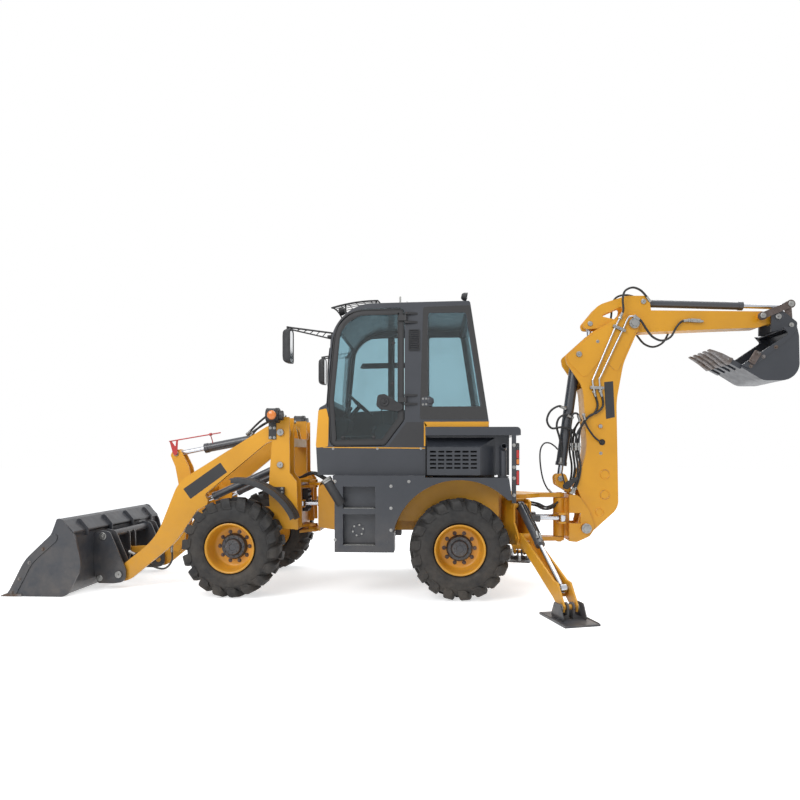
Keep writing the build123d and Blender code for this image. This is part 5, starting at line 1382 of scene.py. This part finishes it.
# %% Front and rear lamps
LAMP = (-1.560, 0.690, 1.985)           # a front lamp's face on the right side
MARKER_X, MARKER_OUT = -1.503, 0.781
TAIL_X = (1.176, 1.212)
bezels, front_lenses, markers, marker_cases = [], [], [], []
turn_lenses, stop_lenses, reversing, tail_cases = [], [], [], []
for side in (-1, 1):
    eye, ahead = np.array((LAMP[0], side * LAMP[1], LAMP[2])), (-1, 0, 0)
    bezels.append(turned([(-0.004, 0.081), (0.006, 0.084), (0.018, 0.084), (0.022, 0.078), (0.012, 0.070),
                          (0.002, 0.066)], eye, ahead, 48))
    front_lenses.append(turned([(0.003, 0.072), (0.012, 0.066), (0.019, 0.048), (0.023, 0.022),
                                (0.024, 0.006)], eye, ahead, 48))
    for ridge in (-1.450, -1.462, -1.474):
        bezels.append(turned([(-0.002, 0.083), (-0.001, 0.086), (0.003, 0.086), (0.004, 0.083)],
                             (ridge, side * LAMP[1], LAMP[2]), ahead, 48))
    marker = (MARKER_X, side * MARKER_OUT, LAMP[2])
    markers.append(turned([(0.0, 0.052), (0.010, 0.051), (0.018, 0.044), (0.024, 0.028), (0.026, 0.006)],
                          marker, (0, side, 0), 40))
    marker_cases.append(turned([(-0.040, 0.058), (0.004, 0.058), (0.006, 0.052)], marker, (0, side, 0), 40))
    for low, high, inner, radius in ((1.430, 1.672, 0.762, 0.012), (1.214, 1.380, 0.752, 0.010)):
        case = rounded(rectangle((TAIL_X[0], low), (TAIL_X[1], high)), radius)
        tail_cases.append(prism(case, *between(side, inner, 0.796)))
    for low, high, store in ((1.442, 1.498, turn_lenses), (1.506, 1.596, stop_lenses),
                             (1.604, 1.660, reversing)):
        pane = rounded(rectangle((1.180, low), (1.208, high)), 0.008)
        store.append(prism(pane, *between(side, 0.793, 0.804)))
    reflector = rounded(rectangle((1.181, 1.222), (1.207, 1.372)), 0.008)
    stop_lenses.append(prism(reflector, *between(side, 0.794, 0.803)))
made("lamp_bezels", bezels, grained_plastic, "front_body", crease=35)
made("front_lenses", front_lenses, clear_lens, "front_body", crease=60)
made("reversing_lenses", reversing, clear_lens, "rear_body", bevel=0.002)
made("marker_lenses", markers, amber_lens, "front_body", crease=60)
made("turn_lenses", turn_lenses, amber_lens, "rear_body", bevel=0.002)
made("marker_cases", marker_cases, grained_plastic, "front_body", crease=35)
made("tail_lamp_cases", tail_cases, grained_plastic, "rear_body", bevel=0.003)
made("stop_lenses", stop_lenses, red_lens, "rear_body", bevel=0.002)

# %% [markdown]
# The boom is a box of plate, and round plugs close the holes where its inner plates were welded.  A
# raised ring shows where each one sits.  Both arms carry a plain dark panel on each side.

# %% Boom and loader arm plates
plugs, bolts, grommets_and_hole_shade = [], [], []
for side in (-1, 1):
    for x, z, radius in ((2.295, 1.317, 0.058), (2.295, 1.076, 0.058), (2.232, 0.872, 0.050)):
        plugs.append(turned([(-0.001, radius), (0.007, radius - 0.002), (0.009, radius - 0.005),
                             (0.007, radius - 0.008), (0.001, radius - 0.010), (0.001, 0.006)],
                            (x, outer_y("backhoe_boom", x, z, side), z), (0, side, 0), 32))
    bolts += wall_bolts("backhoe_boom", ((2.248, 1.563), (2.211, 2.878), (2.240, 2.300)), side, 0.020)
    # Each rubber grommet is a real ring, but its centre is filled flat with black rubber: painted shade for
    # the dark inside of the hole where a hose goes in.
    x, z = 2.262, 1.693
    grommets_and_hole_shade.append(turned([(-0.002, 0.036), (0.005, 0.036), (0.009, 0.032), (0.005, 0.029), (0.001, 0.028),
                            (0.001, 0.004)], (x, outer_y("backhoe_boom", x, z, side), z), (0, side, 0), 32))
made("boom_plugs", plugs, yellow, "backhoe_boom", crease=35)
made("boom_bolts", bolts, zinc, "backhoe_boom", crease=30)
made("boom_grommets", grommets_and_hole_shade, hose_rubber, "backhoe_boom", crease=50)
#          piece, node, place where its wall is met, corners
PANELS = (("arm_panels", "loader_boom", (-2.350, 1.250),
           ((-2.600, 1.150), (-2.515, 1.035), (-2.085, 1.345), (-2.165, 1.455))),
          ("boom_panels", "backhoe_boom", (2.340, 2.200),
           ((2.286, 2.399), (2.390, 2.410), (2.410, 1.987), (2.309, 1.965))))
for name, node, (x, z), corners in PANELS:
    panels = []
    for side in (-1, 1):
        wall = outer_y(node, x, z, side)
        panels.append(prism(rounded(corners, 0.008), *sorted((wall - side * 0.001, wall + side * 0.0012))))
    made(name, panels, black, node)

# %% [markdown]
# The working edges are bolted-on steel that soil keeps bright.  A tooth is forged: it is lofted through
# rounded rectangles that shrink from its socket to its tip, and a pin holds it on.

# %% Digging teeth, edges and pad ribs
TOOTH_ROWS = ((3.668, 2.6080, 0.044, 0.0400), (3.655, 2.6150, 0.044, 0.0400),
              (3.640, 2.6230, 0.0395, 0.0370), (3.560, 2.6780, 0.036, 0.0270),
              (3.480, 2.7210, 0.033, 0.0155), (3.430, 2.7440, 0.031, 0.0080),
              (3.424, 2.7470, 0.026, 0.0050))
TEETH, TEETH_HALF = 5, 0.265            # how many, and how far out the outer ones' middles are
teeth, pins = [], []
curve = superellipse(24, 8.0)
lift = unit((0.50, 0, 0.866))
for y in np.linspace(-TEETH_HALF, TEETH_HALF, TEETH):
    teeth.append(lofted(np.stack([np.array((x, y, z)) + curve[:, :1] * (0, wide, 0)
                                  + curve[:, 1:] * lift * thick for x, z, wide, thick in TOOTH_ROWS])))
    pins.append(turned([(-0.046, 0.006), (-0.045, 0.009), (0.045, 0.009), (0.046, 0.006)],
                       (3.628, y, 2.632), (0, 1, 0), 16))
made("digging_teeth", teeth, worn_steel, "digging_bucket", bevel=0.001, crease=45)
made("tooth_pins", pins, zinc, "digging_bucket", crease=30)

cutter_bolts = []
for side in (-1, 1):
    cutter_bolts += wall_bolts("digging_bucket", ((3.872, 2.548), (4.010, 2.655), (4.148, 2.762)), side,
                               0.024)
made("cutter_bolts", cutter_bolts, worn_steel, "digging_bucket", crease=30)

CORNER_BOLTS = ((-4.300, 0.045), (-4.215, 0.190), (-4.105, 0.370), (-3.950, 0.520))
plough_bolt = turned([(-0.004, 0.020), (0.000, 0.020), (0.003, 0.012), (0.004, 0.004)], (0, 0, 0),
                     (0, 0, 1), 20)
edge_bolts = [stamped(plough_bolt, [(-4.262, y, 0.0285) for y in np.linspace(-0.950, 0.950, 13)])]
for side in (-1, 1):
    edge_bolts += wall_bolts("loader_bucket", CORNER_BOLTS, side, 0.022)
made("edge_bolts", edge_bolts, worn_steel, "loader_bucket", crease=30)

# %% [markdown]
# Each stabilizer pad is stiffened: gussets lean from the ears down to the plate, and a round bar lies
# along two of the plate's edges.

# %% Pad ribs
def pad_frame(side):
    """The ground under a leg's foot pin, and the directions out along the leg and across it."""
    hinge = along_leg(side, 0, 0)
    ground = along_leg(side, LEG_REACH, -LEG_DROP) * (1, 1, 0)
    return ground, unit(along_leg(side, 1, 0) - hinge), unit(along_leg(side, 0, 0, 1) - hinge)


for name, side in SIDES:
    ground, out, square = pad_frame(side)
    webs = []
    for end in (-1, 1):
        inner = ground + end * 0.0385 * square
        for step in (-0.040, 0.040):
            low, high = np.array((0, 0, 0.019)), np.array((0, 0, 0.062))
            wedge = [inner + step * out + low, inner + step * out + end * 0.110 * square + low,
                     inner + step * out + end * 0.096 * square + low * 1.5, inner + step * out + high]
            webs.append(lofted(np.stack([np.array(wedge) - 0.005 * out, np.array(wedge) + 0.005 * out])))
        rail = [ground + end * 0.168 * square + side_step * out + np.array((0, 0, 0.020))
                for side_step in (-0.245, 0.245)]
        webs.append(tube(rail, 0.007, 10))
    made(f"pad_ribs_{name}", webs, charcoal, f"stabilizer_pad_{name}", bevel=0.002)

# %% [markdown]
# Between the two halves of the machine the hoses cross the hinge in a bank.  They arch so that steering
# has slack to take.  A second bank hangs behind and reaches the swing post, and a valve block stands at
# the hinge.

# %% Hoses over the hinge
bank = []
# y, height of the arch
for across, arch in ((-0.110, 0.050), (-0.070, 0.062), (0.070, 0.056), (0.110, 0.044)):
    path = smooth_path([(-1.400, across, 1.262), (-1.335, across, 1.270),
                        (-1.260, across, 1.270 + 0.7 * arch), (-1.180, across, 1.270 + arch),
                        (-1.100, across, 1.260 + 0.5 * arch), (-1.030, across, 1.245),
                        (-0.985, across, 1.240)])
    bank.append(tube(path, HOSE_R, 12))
made("hinge_hoses", bank, hose_rubber,
             ("front_body", "rear_body", (-1.330, 0, 1.27), (-1.040, 0, 1.27)), crease=50)
swing_bank = []
for across, drop in ((-0.075, 0.0), (-0.045, 0.03), (0.045, 0.01), (0.075, 0.04)):
    path = smooth_path([(1.430, across, 0.985 - drop), (1.530, 1.2 * across, 0.965 - drop),
                        (1.620, 1.2 * across, 0.925 - drop), (1.700, across, 0.940 - drop),
                        (1.765, across, 0.985 - drop)])
    swing_bank.append(tube(path, 0.011, 12))
made("swing_bank_hoses", swing_bank, hose_rubber,
             ("rear_body", "swing_post", (1.500, 0, 0.90), (1.760, 0, 0.92)), crease=50)
block = [prism(rounded(rectangle((-1.309, 0.860), (-1.242, 1.130)), 0.008), -0.085, 0.085)]
for level in np.linspace(0.900, 1.095, 4):
    for across in (-0.050, 0.050):
        block.append(turned([(0.0, 0.018), (0.010, 0.018), (0.014, 0.012), (0.022, 0.010)],
                            (-1.243, across, level), (1, 0, 0), 16))
made("valve_block", block, grained_plastic, "front_body", bevel=0.002, crease=40)


# %% [markdown]
# Two cheek plates stand on each pad outside the leg and carry the side load when the machine leans on it.

# %% Pad cheeks
for name, side in SIDES:
    ground, out, square = pad_frame(side)
    outline = rounded(((-0.135, 0.019), (0.135, 0.019), (0.062, 0.165), (-0.062, 0.165)), 0.030)
    flat = ground + outline[:, :1] * out + outline[:, 1:] * (0, 0, 1)
    cheeks = [lofted(np.stack([flat + end * low * square for low in (0.110, 0.120)])) for end in (-1, 1)]
    made(f"pad_cheeks_{name}", cheeks, charcoal, f"stabilizer_pad_{name}", bevel=0.002)


# %% [markdown]
# A front fender is a channel rolled round the wheel's centre.  Its section, a shallow upside-down U with a
# raised ridge, is carried along an arc.  Bolts hold its foot and the lamp's bracket.

# %% Fender channels
WHEEL_CENTRE = np.array((-1.905, 0.5375))
FENDER_SECTION = ((0.742, 0.598), (0.750, 0.598), (0.750, 0.700), (0.756, 0.706), (0.756, 0.744),
                  (0.750, 0.750), (0.750, 0.852), (0.744, 0.857), (0.694, 0.857), (0.694, 0.849),
                  (0.736, 0.848), (0.742, 0.842))
BRACKET_BOLTS = ((-1.565, 1.740), (-1.565, 1.850), (-1.565, 1.940), (-1.520, 1.740), (-1.520, 1.850))
FOOT_BOLTS = ((-1.535, 1.120), (-1.535, 1.162), (-1.425, 1.120), (-1.425, 1.162))
arc = np.radians(np.linspace(25, 93, 40))
fenders, bolts = [], []
for side in (-1, 1):
    radius, across = np.array(FENDER_SECTION).T
    drop = 1 - 0.010 * np.exp(-((arc[:, None] - arc[0]) / 0.02) ** 2)
    fenders.append(lofted(np.stack([WHEEL_CENTRE[0] + radius * drop * np.cos(arc)[:, None],
                                    np.broadcast_to(side * across, (len(arc), len(across))),
                                    WHEEL_CENTRE[1] + radius * drop * np.sin(arc)[:, None]], -1)))
    bolts += wall_bolts("front_fenders", BRACKET_BOLTS, side, 0.017)
    for x, z in FOOT_BOLTS:
        bolts += hexagon_bolts([(x, side * 0.640, z)], (0, side, 0), 0.015)
made("fender_channels", fenders, grained_plastic, "front_body", crease=40)
made("bracket_bolts", bolts, zinc, "front_body", crease=30)

# %% [markdown]
# A driver reads the loader bucket's level from a red bar that goes with the tilt ram's rod and slides
# through a guide on its barrel.  It's round bar on a flat foot.

# %% Level bar
BAR = np.array(((-2.959, -0.102, 1.709), (-2.316, -0.102, 1.816)))
bar_way = unit(BAR[1] - BAR[0])
foot = rounded(((-2.912, 1.560), (-2.885, 1.532), (-2.858, 1.560), (-2.850, 1.700), (-2.846, 1.730),
                (-2.872, 1.728), (-2.880, 1.640), (-2.930, 1.716), (-2.955, 1.712)), 0.008)
level = [tube(BAR, 0.0075, 12), prism(foot, -0.105, -0.099)]
made("level_bar", level, red_paint, "tilt_rod", crease=50)
guide = BAR[0] + bar_way * 0.525
stand = np.array((guide[0], -0.030, reach("tilt_barrel", (guide[0], -0.030, 2.4), (0, 0, -1))[2] - 0.003))
sleeve = turned([(-0.014, 0.0125), (-0.014, 0.0170), (0.014, 0.0170), (0.014, 0.0125)], guide, bar_way, 24,
                loop=True)
arm = tube(smooth_path([stand, stand + (0, -0.012, 0.030), guide - (0, -0.012, 0.024),
                        guide - (0, 0, 0.0150)]), 0.006, 10)
made("level_guide", [sleeve, arm], red_paint, "tilt_barrel", crease=40)

# %% [markdown]
# The last small parts: the bucket's cutting edge is a separate hard strip, a clamp holds the digging
# bucket's side cutter, a lever on the swing post locks the boom for the road, and two short hoses end at
# plates.

# %% Cutting edge, clamp and boom lock
lip = [(-4.434, 0.0005), (-4.434, 0.0075), (-4.381, 0.0300), (-4.200, 0.0300), (-4.195, 0.0270),
       (-4.195, 0.0005)]
made("cutting_edge", [prism(lip, -1.0465, 1.0465)], worn_steel, "loader_bucket", bevel=0.0015)
clamps, clamp_bolts = [], []
for side in (-1, 1):
    outline = rounded(((3.838, 2.600), (3.905, 2.560), (3.985, 2.690), (3.918, 2.732)), 0.015)
    clamps.append(prism(outline, *between(side, 0.318, 0.340)))
    for x, z in ((3.880, 2.608), (3.942, 2.692)):
        clamp_bolts += hexagon_bolts([(x, side * 0.340, z)], (0, side, 0), 0.022)
made("cutter_clamps", clamps, link_iron, "digging_bucket", bevel=0.004)
made("clamp_bolts", clamp_bolts, worn_steel, "digging_bucket", crease=30)
lock = [prism(rounded(((1.790, 1.150), (1.850, 1.140), (1.975, 1.262), (1.962, 1.290), (1.900, 1.262),
                       (1.835, 1.230)), 0.012), -0.206, -0.194),
        turned([(-0.004, 0.030), (0.010, 0.030), (0.016, 0.020), (0.018, 0.008)], (1.822, -0.206, 1.180),
               (0, -1, 0), 24),
        tube(smooth_path([(1.822, -0.200, 1.190), (1.800, -0.205, 1.270), (1.782, -0.210, 1.335)]), 0.009,
             10)]
made("boom_lock", lock, grained_plastic, "swing_post", bevel=0.001)
hose("boom_entry_hose",
     [(2.035, -0.200, 2.011), (2.064, -0.205, 1.893), (2.150, -0.190, 1.765), (2.225, -0.165, 1.705),
      (2.258, -0.140, 1.690)], "backhoe_boom", 0.011, (True, False))
hose("under_arm_hose",
     flat_points(((-2.770, 0.470), (-2.768, 0.310), (-2.860, 0.215), (-3.010, 0.250), (-3.075, 0.340)),
                 -0.470), "loader_boom", 0.011, (True, True))


# %% [markdown]
# Oil reaches each stabilizer's ram through two hoses that hang along its barrel, so they go with it.

# %% Stabilizer hoses
for name, side in SIDES:
    for strand, across in enumerate((-0.018, 0.018)):
        path = [along_leg(side, out, up - 0.6 * across, across)
                for out, up in ((-0.020, 0.370), (0.060, 0.325), (0.150, 0.255), (0.250, 0.175),
                                (0.335, 0.105), (0.372, 0.048))]
        hose(f"stabilizer_hose_{name}_{strand + 1}", path, f"stabilizer_barrel_{name}", 0.0095,
             (False, True))
